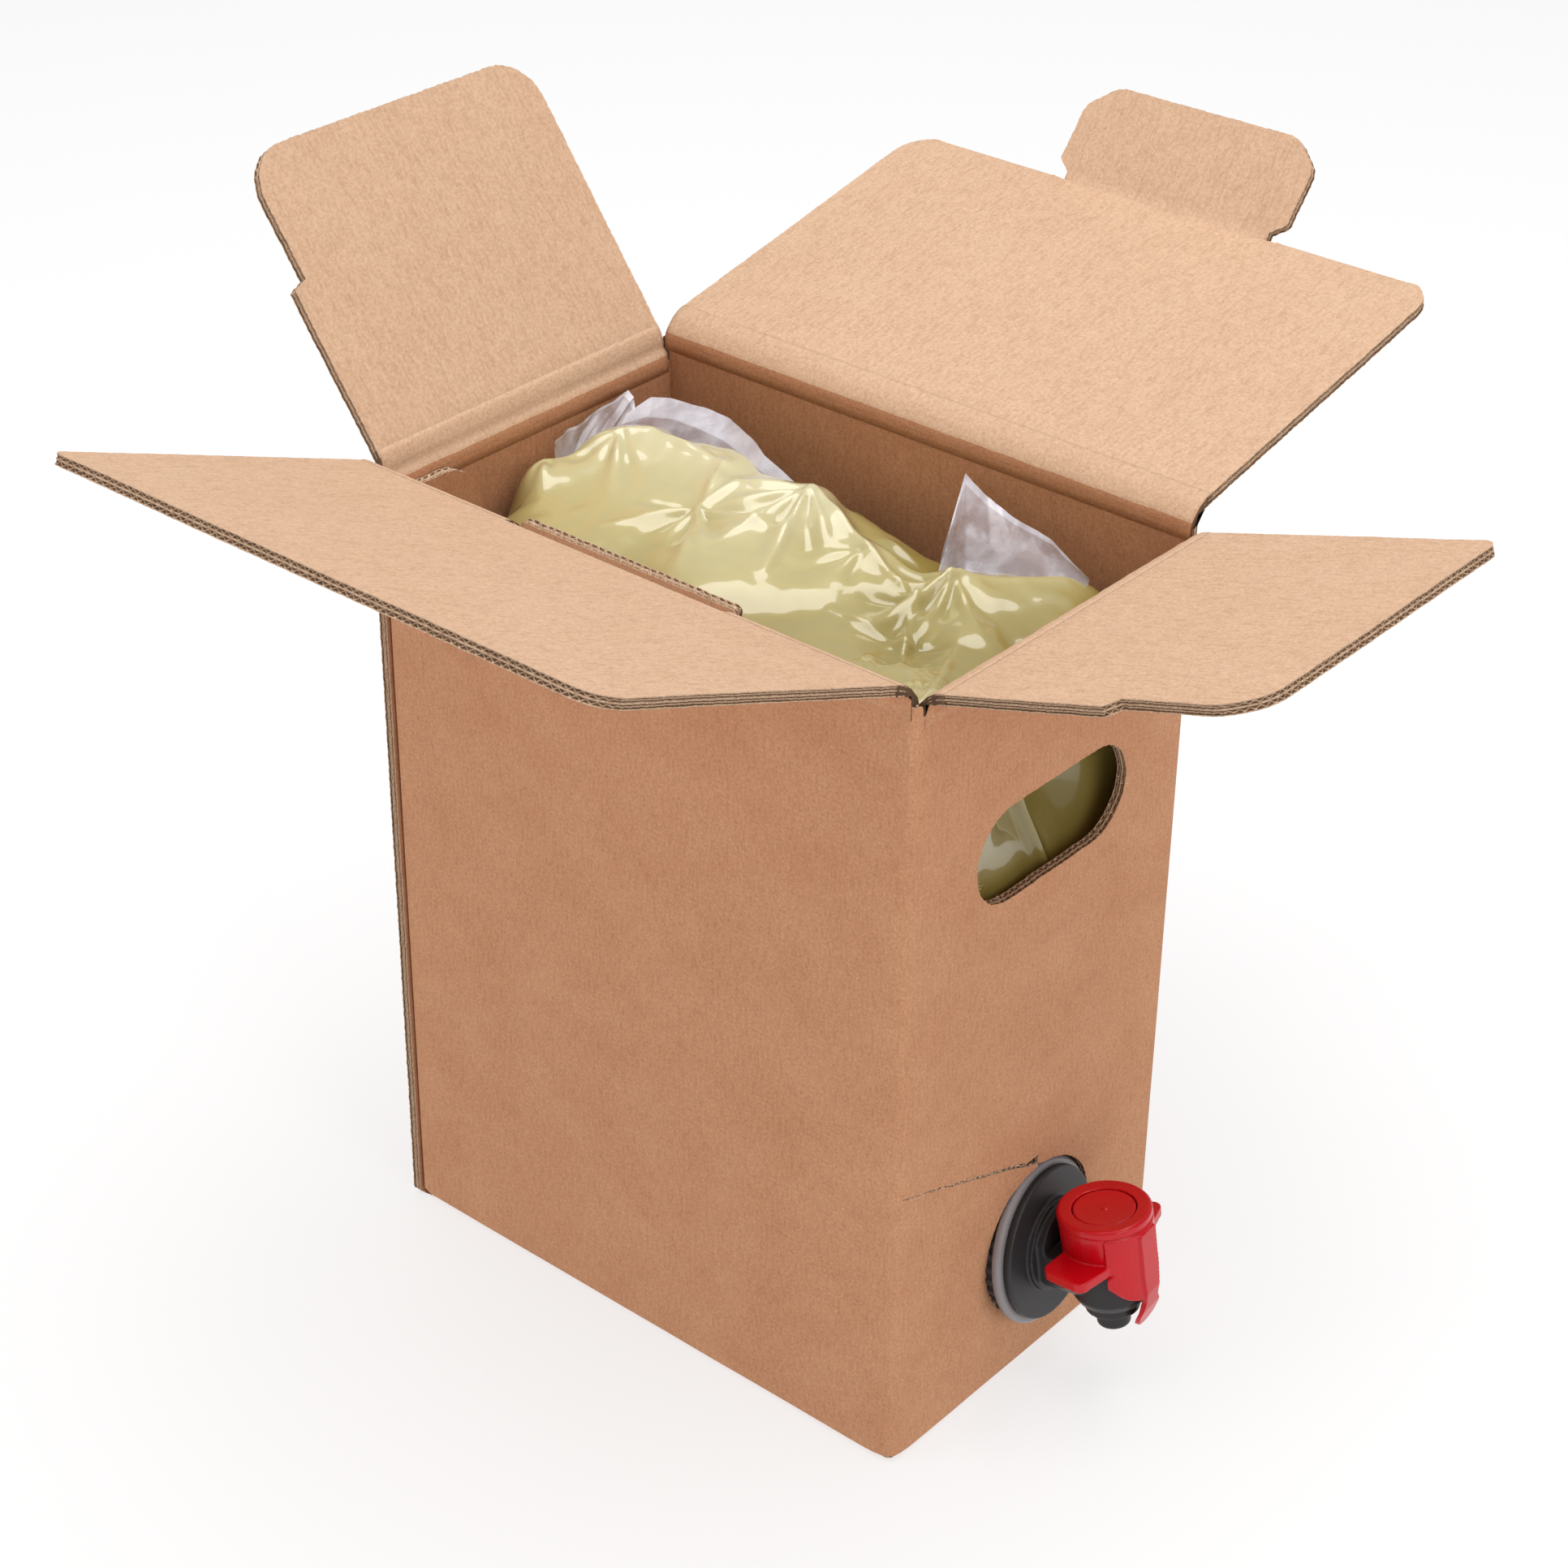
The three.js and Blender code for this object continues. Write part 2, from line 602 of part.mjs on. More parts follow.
function tapGrip() {
  const bore = BODY_R + GRIP_BORE_CLEAR;
  const collar = turned([
    [bore, GRIP_BOTTOM], [GRIP_R - 0.5, GRIP_BOTTOM], [GRIP_R, GRIP_TOP - 1],
    [GRIP_R, GRIP_TOP], [RIM_R - 0.6, GRIP_TOP + RIM_SEAM], [RIM_R, GRIP_TOP + RIM_SEAM + 0.3],
    [RIM_R, RIM_TOP - 0.7], [RIM_R - 0.7, RIM_TOP], [BUTTON_R + BUTTON_CLEAR, RIM_TOP - 0.3],
    [BUTTON_R + BUTTON_CLEAR, BODY_TOP + 0.3], [bore, BODY_TOP + 0.3], [bore, GRIP_BOTTOM],
  ]);
  const wing = (side) => {
    const outline = rounded([
      [VALVE_X + WING_X1, side * 9.5, 0],
      [VALVE_X + WING_X1 - 3, side * WING_Y, 2.6],
      [VALVE_X + WING_X0 + 1, side * (WING_Y - 2.5), 3],
      [VALVE_X + WING_X0 + 2.4, side * 9.5, 0],
    ]);
    const turn = side > 0 ? outline : outline.slice().reverse();
    return prism(turn, GRIP_BOTTOM, GRIP_BOTTOM + WING_T);
  };
  const tongueX = VALVE_X + GRIP_R + 0.4;
  const tongue = prism(rounded([
    [-TONGUE_HALF_W, GRIP_TOP - 0.8, 0.8],
    [TONGUE_HALF_W, GRIP_TOP - 0.8, 0.8],
    [TONGUE_HALF_W, 0, 0],
    [TONGUE_HALF_W - 0.8, TONGUE_END + 9, 1],
    [TONGUE_TIP_R, TONGUE_END + 5, 2.5],
    [TONGUE_TIP_R - 1, TONGUE_END, 4],
    [-TONGUE_TIP_R + 1, TONGUE_END, 4],
    [-TONGUE_TIP_R, TONGUE_END + 5, 2.5],
    [-TONGUE_HALF_W + 0.8, TONGUE_END + 9, 1],
    [-TONGUE_HALF_W, 0, 0],
  ]), 0, 30, basis([0, 1, 0], [0, 0, 1], [1, 0, 0], [VALVE_X, 0, 0]));
  // the tongue's side view: it follows the apron and then slopes in under the nozzle
  const side = prism([
    [tongueX - 1.4, GRIP_TOP - 0.2], [tongueX + 0.3, GRIP_TOP - 0.2], [tongueX + 0.5, -6],
    [tongueX - 0.7, -12], [tongueX - 3.8, TONGUE_END - 1], [tongueX - 5.6, TONGUE_END - 1],
    [tongueX - 2.3, -12.6], [tongueX - 1.4, -6],
  ].map(([x, z]) => [z, x]), -8, 8, ALONG_Y);
  const hollow = columnZ(bore, GRIP_BOTTOM - 1, BODY_TOP + 0.3, 48);
  let grip = join(collar, wing(1).subtract(hollow), wing(-1).subtract(hollow), apronShell());
  grip = grip.add(tongue.intersect(side));
  return grip;
}

add('tap_grip', place(tapGrip(), TAP), TAP_RED, 0.35);

// Press button with its stem and plug under it, and the rubber seal on the plug
const BUTTON_TOP = RIM_TOP - 0.5;

function pressButton() {
  return turned([
    [0, BUTTON_TOP - BUTTON_T], [BUTTON_R, BUTTON_TOP - BUTTON_T], [BUTTON_R, BUTTON_TOP - 0.2],
    [BUTTON_R - 0.4, BUTTON_TOP], [BUTTON_R - 3, BUTTON_TOP - BUTTON_DISH * 0.6],
    [1.2, BUTTON_TOP - BUTTON_DISH], [0.5, BUTTON_TOP - BUTTON_DISH + 0.4], [0, BUTTON_TOP - BUTTON_DISH + 0.4],
  ]);
}

add('push_button', place(pressButton(), TAP), TAP_RED, 0.35);

const PLUG_TOP = SEAT_Z - SEAT_T - SEAL_T;

function valveStem() {
  return turned([
    [0, PLUG_TOP - PLUG_T], [PLUG_R, PLUG_TOP - PLUG_T], [PLUG_R, PLUG_TOP], [STEM_R, PLUG_TOP],
    [STEM_R, BUTTON_TOP - BUTTON_T], [0, BUTTON_TOP - BUTTON_T],
  ], 32);
}

add('valve_stem', place(valveStem(), TAP), 0xd9d6cf, 0.5);

function valveSeal() {
  return turned([
    [STEM_R, PLUG_TOP], [SEAL_R, PLUG_TOP], [SEAL_R, PLUG_TOP + SEAL_T - 0.3],
    [SEAL_R - 0.3, PLUG_TOP + SEAL_T], [STEM_R, PLUG_TOP + SEAL_T], [STEM_R, PLUG_TOP],
  ], 32);
}

add('valve_seal', place(valveSeal(), TAP), 0x33312f, 0.75);

// Gland welded to the bag, and the toothed ring that grips the board's hole
function bagGland() {
  const bore = SPIGOT_R + GLAND_BORE_CLEAR;
  const front = -FLANGE_T - GLAND_FLANGE_GAP;
  return turnedX([
    [bore, SPIGOT_END], [WELD_R, SPIGOT_END], [WELD_R, SPIGOT_END + WELD_T],
    [GLAND_NECK_R, SPIGOT_END + WELD_T], [GLAND_NECK_R, GLAND_X0], [GLAND_R - 0.6, GLAND_X0],
    [GLAND_R, GLAND_X0 + 0.6], [GLAND_R, front - 0.9], [GLAND_R - 0.9, front], [bore, front], [bore, SPIGOT_END],
  ]);
}

add('bag_gland', place(bagGland(), TAP), 0x8f8c8d, 0.45);

function toothedRing() {
  const outline = [];
  for (let i = 0; i < TOOTH_COUNT; i += 1) {
    const a = (i / TOOTH_COUNT) * 2 * Math.PI;
    const w = (2 * Math.PI) / TOOTH_COUNT;
    const at = (r, t) => [r * Math.cos(a + t * w), r * Math.sin(a + t * w)];
    outline.push(at(TOOTH_RING_R - TOOTH_H, 0.02), at(TOOTH_RING_R, 0.16));
    outline.push(at(TOOTH_RING_R, 0.56), at(TOOTH_RING_R - TOOTH_H, 0.7));
  }
  const hole = circle(0, 0, GLAND_NECK_R + RING_GAP, 48).reverse();
  return prism(outline, TOOTH_X0, GLAND_X0 - RING_GAP, ALONG_X, [hole]);
}

add('gland_ring', place(toothedRing(), TAP), 0x3a3838, 0.55);

// Filled bag: one sealed pack with the clear film ears of its seams

function bagTop(x, y) {
  let z = BAG_BASE_TOP;
  for (const [cx, cy, sx, sy, amp] of BAG_LOBES) {
    z += amp * Math.exp(-(((x - cx) / sx) ** 2) - ((y - cy) / sy) ** 2);
  }
  return z;
}

function bagSolid() {
  const x0 = -HALF_L + 2 * BOARD + BAG_CLEAR;
  const x1 = HALF_L - BOARD - BAG_CLEAR;
  const y1 = HALF_W - BOARD - BAG_CLEAR;
  const z0 = FLOOR_T + FLAP_STACK_GAP;
  const midX = (x0 + x1) / 2;
  const halfX = (x1 - x0) / 2;
  const nx = 30;
  const ny = 20;
  const drop = (x, y) => {
    const edge = Math.min(x - x0, x1 - x, y + y1, y1 - y);
    const t = Math.min(1, Math.max(0, 1 - edge / BAG_EDGE_R));
    return BAG_EDGE_DROP * (1 - Math.sqrt(1 - t * t));
  };
  const spread = (t) => Math.sign(t) * (1 - (1 - Math.abs(t)) ** 1.35);
  const squash = (u, v, inset) => {
    const ax = halfX - inset;
    const ay = y1 - inset;
    const x = u * ax;
    const y = v * ay;
    const r = 10;
    const dx = Math.max(0, Math.abs(x) - (ax - r));
    const dy = Math.max(0, Math.abs(y) - (ay - r));
    const d = Math.hypot(dx, dy);
    if (d > r) {
      const k = r / d;
      return [midX + Math.sign(x) * (ax - r + dx * k), Math.sign(y) * (ay - r + dy * k)];
    }
    return [midX + x, y];
  };
  const grid = (height) => {
    const rows = [];
    for (let j = 0; j <= ny; j += 1) {
      const row = [];
      for (let i = 0; i <= nx; i += 1) {
        const [x, y] = squash(spread((2 * i) / nx - 1), spread((2 * j) / ny - 1), 0);
        row.push([x, y, height(x, y)]);
      }
      rows.push(row);
    }
    return rows;
  };
  const top = grid((x, y) => bagTop(x, y) - drop(x, y));
  const low = grid(() => z0);
  const ring = (rows) => {
    const out = [];
    for (let i = 0; i < nx; i += 1) out.push(rows[0][i]);
    for (let j = 0; j < ny; j += 1) out.push(rows[j][nx]);
    for (let i = nx; i > 0; i -= 1) out.push(rows[ny][i]);
    for (let j = ny; j > 0; j -= 1) out.push(rows[j][0]);
    return out;
  };
  const tri = [];
  const quad = (a, b, c, d) => tri.push(...a, ...b, ...c, ...a, ...c, ...d);
  for (let j = 0; j < ny; j += 1) {
    for (let i = 0; i < nx; i += 1) {
      quad(top[j][i], top[j][i + 1], top[j + 1][i + 1], top[j + 1][i]);
      quad(low[j][i], low[j + 1][i], low[j + 1][i + 1], low[j][i + 1]);
    }
  }
  const upper = ring(top);
  const lower = ring(low);
  const n = upper.length;
  for (let i = 0; i < n; i += 1) {
    const k = (i + 1) % n;
    quad(lower[i], lower[k], upper[k], upper[i]);
  }
  const g = new THREE.BufferGeometry();
  g.setAttribute('position', new THREE.BufferAttribute(new Float32Array(tri), 3));
  return solid(g);
}

// A film ear: a flat sheet through the points, standing up out of the bag
function ear(base0, base1, tops) {
  const a = new THREE.Vector3(...base0);
  const b = new THREE.Vector3(...base1);
  const u = b.clone().sub(a).setZ(0).normalize();
  const w = new THREE.Vector3(0, 0, 1).cross(u).negate();
  const v = w.clone().cross(u);
  const flat = (p) => {
    const d = new THREE.Vector3(...p).sub(a);
    return [d.dot(u), d.dot(v)];
  };
  const outline = [flat(base0), flat(base1), ...tops.map(flat)];
  const m = basis([u.x, u.y, u.z], [v.x, v.y, v.z], [w.x, w.y, w.z], base0);
  return prism(outline, -FILM_T / 2, FILM_T / 2, m);
}

function filledBag() {
  const rearX = -HALF_L + REAR_EAR_IN;
  const backX = -HALF_L + BACK_EAR_START;
  const backEnd = backX + BACK_EAR_LEN;
  const tapEnd = HALF_L - TAP_EAR_END;
  const tapStart = tapEnd - TAP_EAR_LEN;
  const sunk = EAR_TOP - 20.8;
  const earRear = ear([rearX, 1, sunk], [rearX, 40, sunk], [
    [rearX, 37, EAR_TOP - 0.2],
    [rearX, 24, EAR_TOP - 2.8],
    [rearX, 5, EAR_TOP - 6.8],
  ]);
  const earBack = ear([backX, 34, sunk], [backEnd, 30, sunk], [
    [backEnd, 30, EAR_TOP - 4.8],
    [backEnd - 28, 31.6, EAR_TOP - 0.4],
    [backX + 8, 33.5, EAR_TOP],
  ]);
  const earTap = ear([tapStart, 46, sunk - 16], [tapEnd, 40, sunk - 16], [
    [tapEnd, 40, EAR_TOP - 12.8],
    [tapEnd - 26, 43, EAR_TOP - 4.8],
    [tapStart + 4, 45.5, EAR_TOP],
  ]);
  const pocket = place(discX(POCKET_R, SPIGOT_END, 30, 48), TAP);
  return cut(join(bagSolid(), earRear, earBack, earTap), pocket);
}

add('filled_bag', filledBag(), 0xc9c08a, 0.25);

export default group;
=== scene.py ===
"""Looks of the bag in box carton: board with cut flutes and crushed creases, film bag, moulded tap."""

import math

import bpy
import numpy as np
from mathutils import Matrix, Vector
from mathutils.geometry import delaunay_2d_cdt

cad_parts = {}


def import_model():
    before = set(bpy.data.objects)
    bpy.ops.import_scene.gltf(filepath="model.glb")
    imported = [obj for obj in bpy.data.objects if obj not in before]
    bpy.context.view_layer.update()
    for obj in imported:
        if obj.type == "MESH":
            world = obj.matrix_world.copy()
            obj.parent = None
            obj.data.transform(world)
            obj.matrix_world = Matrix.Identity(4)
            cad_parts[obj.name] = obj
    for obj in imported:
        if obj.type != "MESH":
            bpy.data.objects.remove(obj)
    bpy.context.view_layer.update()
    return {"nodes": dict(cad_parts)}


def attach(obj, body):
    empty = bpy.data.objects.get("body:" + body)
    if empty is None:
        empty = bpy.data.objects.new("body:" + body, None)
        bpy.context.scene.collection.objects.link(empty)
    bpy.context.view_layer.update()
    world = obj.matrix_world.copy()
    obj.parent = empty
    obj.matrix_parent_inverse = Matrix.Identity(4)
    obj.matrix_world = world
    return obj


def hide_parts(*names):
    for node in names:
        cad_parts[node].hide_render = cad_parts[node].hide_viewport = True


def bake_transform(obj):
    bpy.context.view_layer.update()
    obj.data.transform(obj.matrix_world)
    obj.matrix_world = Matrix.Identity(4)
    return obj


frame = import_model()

MM = 0.001

# Carton, in mm, as in the part's source
LENGTH = 190.5
WIDTH = 121.5
BOARD = 3.0
HALF_L = LENGTH / 2
HALF_W = WIDTH / 2
COVER_AXIS_Z = 253.3
LOCK_AXIS_Z = 250.0
SIDE_AXIS_Z = 246.7
LOCK_LEN, LOCK_SLOPE, LOCK_SIDE_CLEAR = 115.0, 21.2, 1.6
SIDE_LEN, TAP_SIDE_SLOPE, REAR_SIDE_SLOPE = 94.4, 17.4, 53.4
SIDE_FLAP_CLEAR, SIDE_NOTCH_AT, SIDE_NOTCH = 0.6, 55.0, 5.0
COVER_LEN, COVER_SLOPE, COVER_SIDE_CLEAR = 120.0, 11.7, 1.0
TUCK_BEND, TUCK_LEN, TUCK_HALF, TUCK_NECK_HALF, TUCK_NECK_LEN = 38.0, 33.0, 41.0, 36.7, 3.2
STRIP_X0, STRIP_X1, STRIP_TOP_Z = -38.3, 36.7, 253.2
STRIP_SLOT_CLEAR, STRIP_SLOT_DEPTH = 0.8, 6.8
GLUE_FLAP_W, GLUE_FLAP_TOP, GLUE_FLAP_R = 32.0, 243.0, 14.0
RAW_EDGE_PROUD = 0.6
HAND_LEN, HAND_H, HAND_Y, HAND_Z = 66.0, 29.4, 0.5, 185.0
TAP_HOLE_R, TAP_Y, TAP_Z = 25.6, 3.5, 43.5
NOTCH_W, NOTCH_TOP_Z, SLIT_CORNER_Z = 5.2, 73.6, 94.8
SEAM_Y = 8.0
HOLE_TIGHTER = 3.4

# Looks of the board, in mm
FLUTE_PITCH = 2.6
EDGE_STEP = 0.9
GRID_STEP = 5.0
CORNER_R = 2.6
BOTTOM_R = 2.6
GLUE_CORNER_R = 1.0
LOWEST = 0.02
WALL_TOP_DROP = 3.3
ROOT = 0.6
ROOT_CRUSH, ROOT_CRUSH_LEN = 0.55, 5.0
CREASE_SKIN = 0.07
SHEET_WAVE, SHEET_WAVE_SIZE, CALM_FADE = 0.10, 60, 12

# Camera fitted to the photo, in mm, with its three axes
CAMERA_AT = (524.340, -620.598, 656.708)
CAMERA_RIGHT = (0.76170056, 0.64786693, 0.00898357)
CAMERA_UP = (-0.34417246, 0.39282036, 0.85278220)
CAMERA_FORWARD = (-0.54896045, 0.65265657, -0.52218944)
CAMERA_LENS = 76.955

RNG = np.random.default_rng(7)


# Small helpers

def smoothstep(a, b, x):
    t = np.clip((x - a) / (b - a), 0, 1)
    return t * t * (3 - 2 * t)


def waves(x, y, size, seed, octaves=3):
    """Smooth noise about zero, made of a few crossed sine waves."""
    rng = np.random.default_rng(seed)
    total = np.zeros_like(np.asarray(x, float) + np.asarray(y, float))
    for octave in range(octaves):
        for _ in range(4):
            a = rng.uniform(0, 2 * math.pi)
            k = 2 * math.pi / (size / 2 ** octave) * rng.uniform(0.7, 1.3)
            wave = np.sin(k * (x * math.cos(a) + y * math.sin(a)) + rng.uniform(0, 6.3))
            total = total + wave / 2 ** octave
    return total / 4


def make_object(name, points, faces, materials, face_slots=None, smooth=True, attributes=None):
    """A mesh object from points in mm. attributes maps a name to one 3-vector for each point."""
    mesh = bpy.data.meshes.new(name)
    mesh.from_pydata([tuple(p) for p in np.asarray(points, float) * MM], [], [list(f) for f in faces])
    for key, values in (attributes or {}).items():
        layer = mesh.attributes.new(key, "FLOAT_VECTOR", "POINT")
        layer.data.foreach_set("vector", np.asarray(values, np.float32).ravel())
    for material in materials:
        mesh.materials.append(material)
    if face_slots is not None:
        mesh.polygons.foreach_set("material_index", np.asarray(face_slots, np.int32))
    mesh.polygons.foreach_set("use_smooth", [bool(smooth)] * len(faces))
    mesh.update()
    obj = bpy.data.objects.new(name, mesh)
    bpy.context.scene.collection.objects.link(obj)
    return obj


def rounded(corners, steps=8):
    """Corners (x, y, radius) with each radius drawn as a short arc."""
    out = []
    n = len(corners)
    for i, (x, y, r) in enumerate(corners):
        here = np.array((x, y), float)
        if not r:
            out.append(here)
            continue
        to_a = np.array(corners[i - 1][:2], float) - here
        to_b = np.array(corners[(i + 1) % n][:2], float) - here
        to_a /= np.linalg.norm(to_a)
        to_b /= np.linalg.norm(to_b)
        half = math.acos(np.clip(to_a @ to_b, -1, 1)) / 2
        mid = to_a + to_b
        centre = here + mid / np.linalg.norm(mid) * r / math.sin(half)
        start = here + to_a * r / math.tan(half) - centre
        end = here + to_b * r / math.tan(half) - centre
        a0 = math.atan2(start[1], start[0])
        sweep = (math.atan2(end[1], end[0]) - a0 + math.pi) % (2 * math.pi) - math.pi
        for k in range(steps + 1):
            t = a0 + sweep * k / steps
            out.append(centre + r * np.array((math.cos(t), math.sin(t))))
    return np.array(out)


def resample(loop, step):
    """The closed loop with extra points so that no stretch is longer than step."""
    out = []
    for a, b in zip(loop, np.roll(loop, -1, axis=0)):
        count = max(1, int(math.ceil(np.linalg.norm(b - a) / step)))
        for k in range(count):
            out.append(a + (b - a) * k / count)
    return np.array(out)


def inside(points, loop):
    """True for each point inside the closed loop."""
    x, y = points[:, 0], points[:, 1]
    result = np.zeros(len(points), bool)
    for (x0, y0), (x1, y1) in zip(loop, np.roll(loop, -1, axis=0)):
        if y0 == y1:
            continue
        crosses = (y0 > y) != (y1 > y)
        result ^= crosses & (x < (x1 - x0) * (y - y0) / (y1 - y0) + x0)
    return result


def nearest(points, loop):
    """How far each point lies from the closed loop."""
    best = np.full(len(points), 1e9)
    for a, b in zip(loop, np.roll(loop, -1, axis=0)):
        d = b - a
        length = max(d @ d, 1e-12)
        t = np.clip(((points - a) @ d) / length, 0, 1)
        best = np.minimum(best, np.linalg.norm(points - (a + t[:, None] * d), axis=1))
    return best


# Edge rows through the board: (share of the thickness, how far the cut is set back in mm)
EDGE_ROWS = [
    (0.0, 0.0), (0.12, 0.0), (0.15, 0.3), (0.43, 0.34), (0.46, 0.0),
    (0.54, 0.0), (0.57, 0.34), (0.85, 0.3), (0.88, 0.0), (1.0, 0.0),
]


def board_panel(name, outline, place, materials, holes=(), grid=GRID_STEP, ragged=0.16, seed=1,
                lines=((), ()), calm=(-99.0, 8.0)):
    """A sheet of double-wall board cut to outline, in panel space (u, s), and put in place.

    place turns arrays (u, s, n) into points; n runs from the outer liner at 0 to the inner at BOARD.
    materials are outer liner, inner liner and cut edge. lines gives values of u, and of s, that get
    rows of points of their own, for bends. calm is the stretch of s where the sheet is left smooth."""
    loops = []
    for index, raw in enumerate([outline, *holes]):
        loop = resample(np.asarray(raw, float), EDGE_STEP)
        tangent = np.roll(loop, -1, axis=0) - np.roll(loop, 1, axis=0)
        tangent /= np.maximum(np.linalg.norm(tangent, axis=1), 1e-9)[:, None]
        normal = np.stack((tangent[:, 1], -tangent[:, 0]), axis=1)
        run = np.concatenate(([0], np.cumsum(np.linalg.norm(np.diff(loop, axis=0), axis=1))))
        flutes = 0.5 * np.sin(2 * math.pi * run / FLUTE_PITCH + seed)
        wave = flutes + waves(run, run * 0.3, 7, seed + index, 3)
        loops.append((loop + normal * (ragged * wave)[:, None], normal, run))
    outer = loops[0][0]
    lo, hi = outer.min(0), outer.max(0)
    gx, gy = np.meshgrid(np.arange(lo[0], hi[0], grid), np.arange(lo[1], hi[1], grid))
    fill = np.stack((gx.ravel(), gy.ravel()), axis=1)
    fill = fill + RNG.uniform(-0.2, 0.2, fill.shape) * grid
    for axis in (0, 1):
        for value in lines[axis]:
            fill = fill[np.abs(fill[:, axis] - value) > 1.2]
    for axis in (0, 1):
        for value in lines[axis]:
            free = np.arange(lo[1 - axis], hi[1 - axis], 3.0)
            if axis == 1 and lines[0]:
                apart = np.min(np.abs(free[:, None] - np.array(lines[0])[None, :]), axis=1)
                free = free[apart > 0.3]
            fixed = np.full(len(free), value)
            fill = np.vstack((fill, np.stack((fixed, free) if axis == 0 else (free, fixed), axis=1)))
    keep = inside(fill, outer) & (nearest(fill, outer) > 0.7)
    for loop, _, _ in loops[1:]:
        keep &= ~inside(fill, loop) & (nearest(fill, loop) > 0.7)
    fill = fill[keep]
    points, edges = [], []
    for loop, _, _ in loops:
        base = len(points)
        points.extend(loop)
        edges.extend((base + i, base + (i + 1) % len(loop)) for i in range(len(loop)))
    flat = [Vector((float(p[0]), float(p[1]))) for p in [*points, *fill]]
    verts, _, tris, _, _, _ = delaunay_2d_cdt(flat, edges, [], 1, 1e-5)
    xy = np.array([tuple(v) for v in verts])
    centre = np.array([xy[list(t)].mean(0) for t in tris])
    good = inside(centre, outer)
    for loop, _, _ in loops[1:]:
        good &= ~inside(centre, loop)
    tris = [t for t, g in zip(tris, good) if g]
    u, s = xy[:, 0], xy[:, 1]

    def relief_at(u, s):
        still = smoothstep(calm[0] - CALM_FADE, calm[0], s)
        still = still * (1 - smoothstep(calm[1], calm[1] + CALM_FADE, s))
        return SHEET_WAVE * waves(u, s, SHEET_WAVE_SIZE, seed + 40, 2) * (1 - still)

    relief = relief_at(u, s)
    zero = np.zeros(len(xy))
    bottom = place(u, s, zero + relief * 0.6)
    top = place(u, s, zero + BOARD + relief)
    all_points = [bottom, top]
    board = [np.stack((u, s, zero), 1), np.stack((u, s, zero + BOARD), 1)]
    cut = [np.zeros((len(xy), 3)), np.zeros((len(xy), 3))]
    faces, slots = [], []
    count = len(xy)
    for t in tris:
        a, b, c = xy[t[0]], xy[t[1]], xy[t[2]]
        turn = (b[0] - a[0]) * (c[1] - a[1]) - (b[1] - a[1]) * (c[0] - a[0])
        t = list(t) if turn > 0 else list(t)[::-1]
        faces.append(t[::-1])
        slots.append(0)
        faces.append([i + count for i in t])
        slots.append(1)
    offset = 2 * count
    for index, (loop, normal, run) in enumerate(loops):
        signed = np.sum(loop[:, 0] * np.roll(loop[:, 1], -1) - np.roll(loop[:, 0], -1) * loop[:, 1])
        solid_side = -1 if (signed > 0) == (index == 0) else 1
        outward = normal if signed > 0 else -normal
        if index > 0:
            outward = -outward
        size = len(loop)
        shift = relief_at(loop[:, 0], loop[:, 1])
        rows = []
        for share, back in EDGE_ROWS:
            inset = loop - outward * (back * (1 + 0.5 * waves(run, run, 3, seed + 9, 2)))[:, None]
            level = share * BOARD + shift * (0.6 + 0.4 * share)
            if 0 < share < 1 and back == 0.0:
                level = level + 0.10 * waves(run, share * 40 + run * 0.1, 9, seed + 5, 2)
            rows.append(place(inset[:, 0], inset[:, 1], level))
            board.append(np.stack((loop[:, 0], loop[:, 1], np.full(size, share * BOARD)), 1))
            across = np.abs(normal[:, 1])
            cut.append(np.stack((run, np.full(size, share * BOARD), across), 1))
        all_points.extend(rows)
        for r in range(len(EDGE_ROWS) - 1):
            for i in range(size):
                j = (i + 1) % size
                a, b = offset + r * size + i, offset + r * size + j
                c, d = offset + (r + 1) * size + j, offset + (r + 1) * size + i
                faces.append([a, b, c, d] if solid_side < 0 else [d, c, b, a])
                slots.append(2)
        offset += size * len(EDGE_ROWS)
    return make_object(
        name, np.vstack(all_points), faces, materials, slots, True,
        {"board": np.vstack(board), "cut": np.vstack(cut)},
    )


# Materials

def new_material(name):
    material = bpy.data.materials.new(name)
    material.use_nodes = True
    tree = material.node_tree
    tree.nodes.clear()
    return material, tree


def node(tree, kind, **values):
    made = tree.nodes.new(kind)
    for key, value in values.items():
        setattr(made, key, value)
    return made


def attribute(tree, name):
    return node(tree, "ShaderNodeAttribute", attribute_name=name, attribute_type="GEOMETRY")


def noise(tree, vector, scale, detail=4.0, roughness=0.6, stretch=None):
    if stretch is not None:
        mapping = node(tree, "ShaderNodeMapping")
        mapping.inputs["Scale"].default_value = stretch
        tree.links.new(vector, mapping.inputs["Vector"])
        vector = mapping.outputs["Vector"]
    made = node(tree, "ShaderNodeTexNoise")
    made.inputs["Scale"].default_value = scale
    made.inputs["Detail"].default_value = detail
    made.inputs["Roughness"].default_value = roughness
    tree.links.new(vector, made.inputs["Vector"])
    return made.outputs["Fac"]


def ramp(tree, fac, stops):
    made = node(tree, "ShaderNodeValToRGB")
    elements = made.color_ramp.elements
    while len(elements) < len(stops):
        elements.new(0.5)
    for element, (place_at, colour) in zip(elements, stops):
        element.position = place_at
        element.color = (*colour, 1.0)
    tree.links.new(fac, made.inputs["Fac"])
    return made.outputs["Color"]


def maths(tree, operation, a, b=None, clamp=False):
    made = node(tree, "ShaderNodeMath", operation=operation, use_clamp=clamp)
    for socket, value in zip(made.inputs, (a, b)):
        if value is None:
            continue
        if isinstance(value, (int, float)):
            socket.default_value = value
        else:
            tree.links.new(value, socket)
    return made.outputs["Value"]


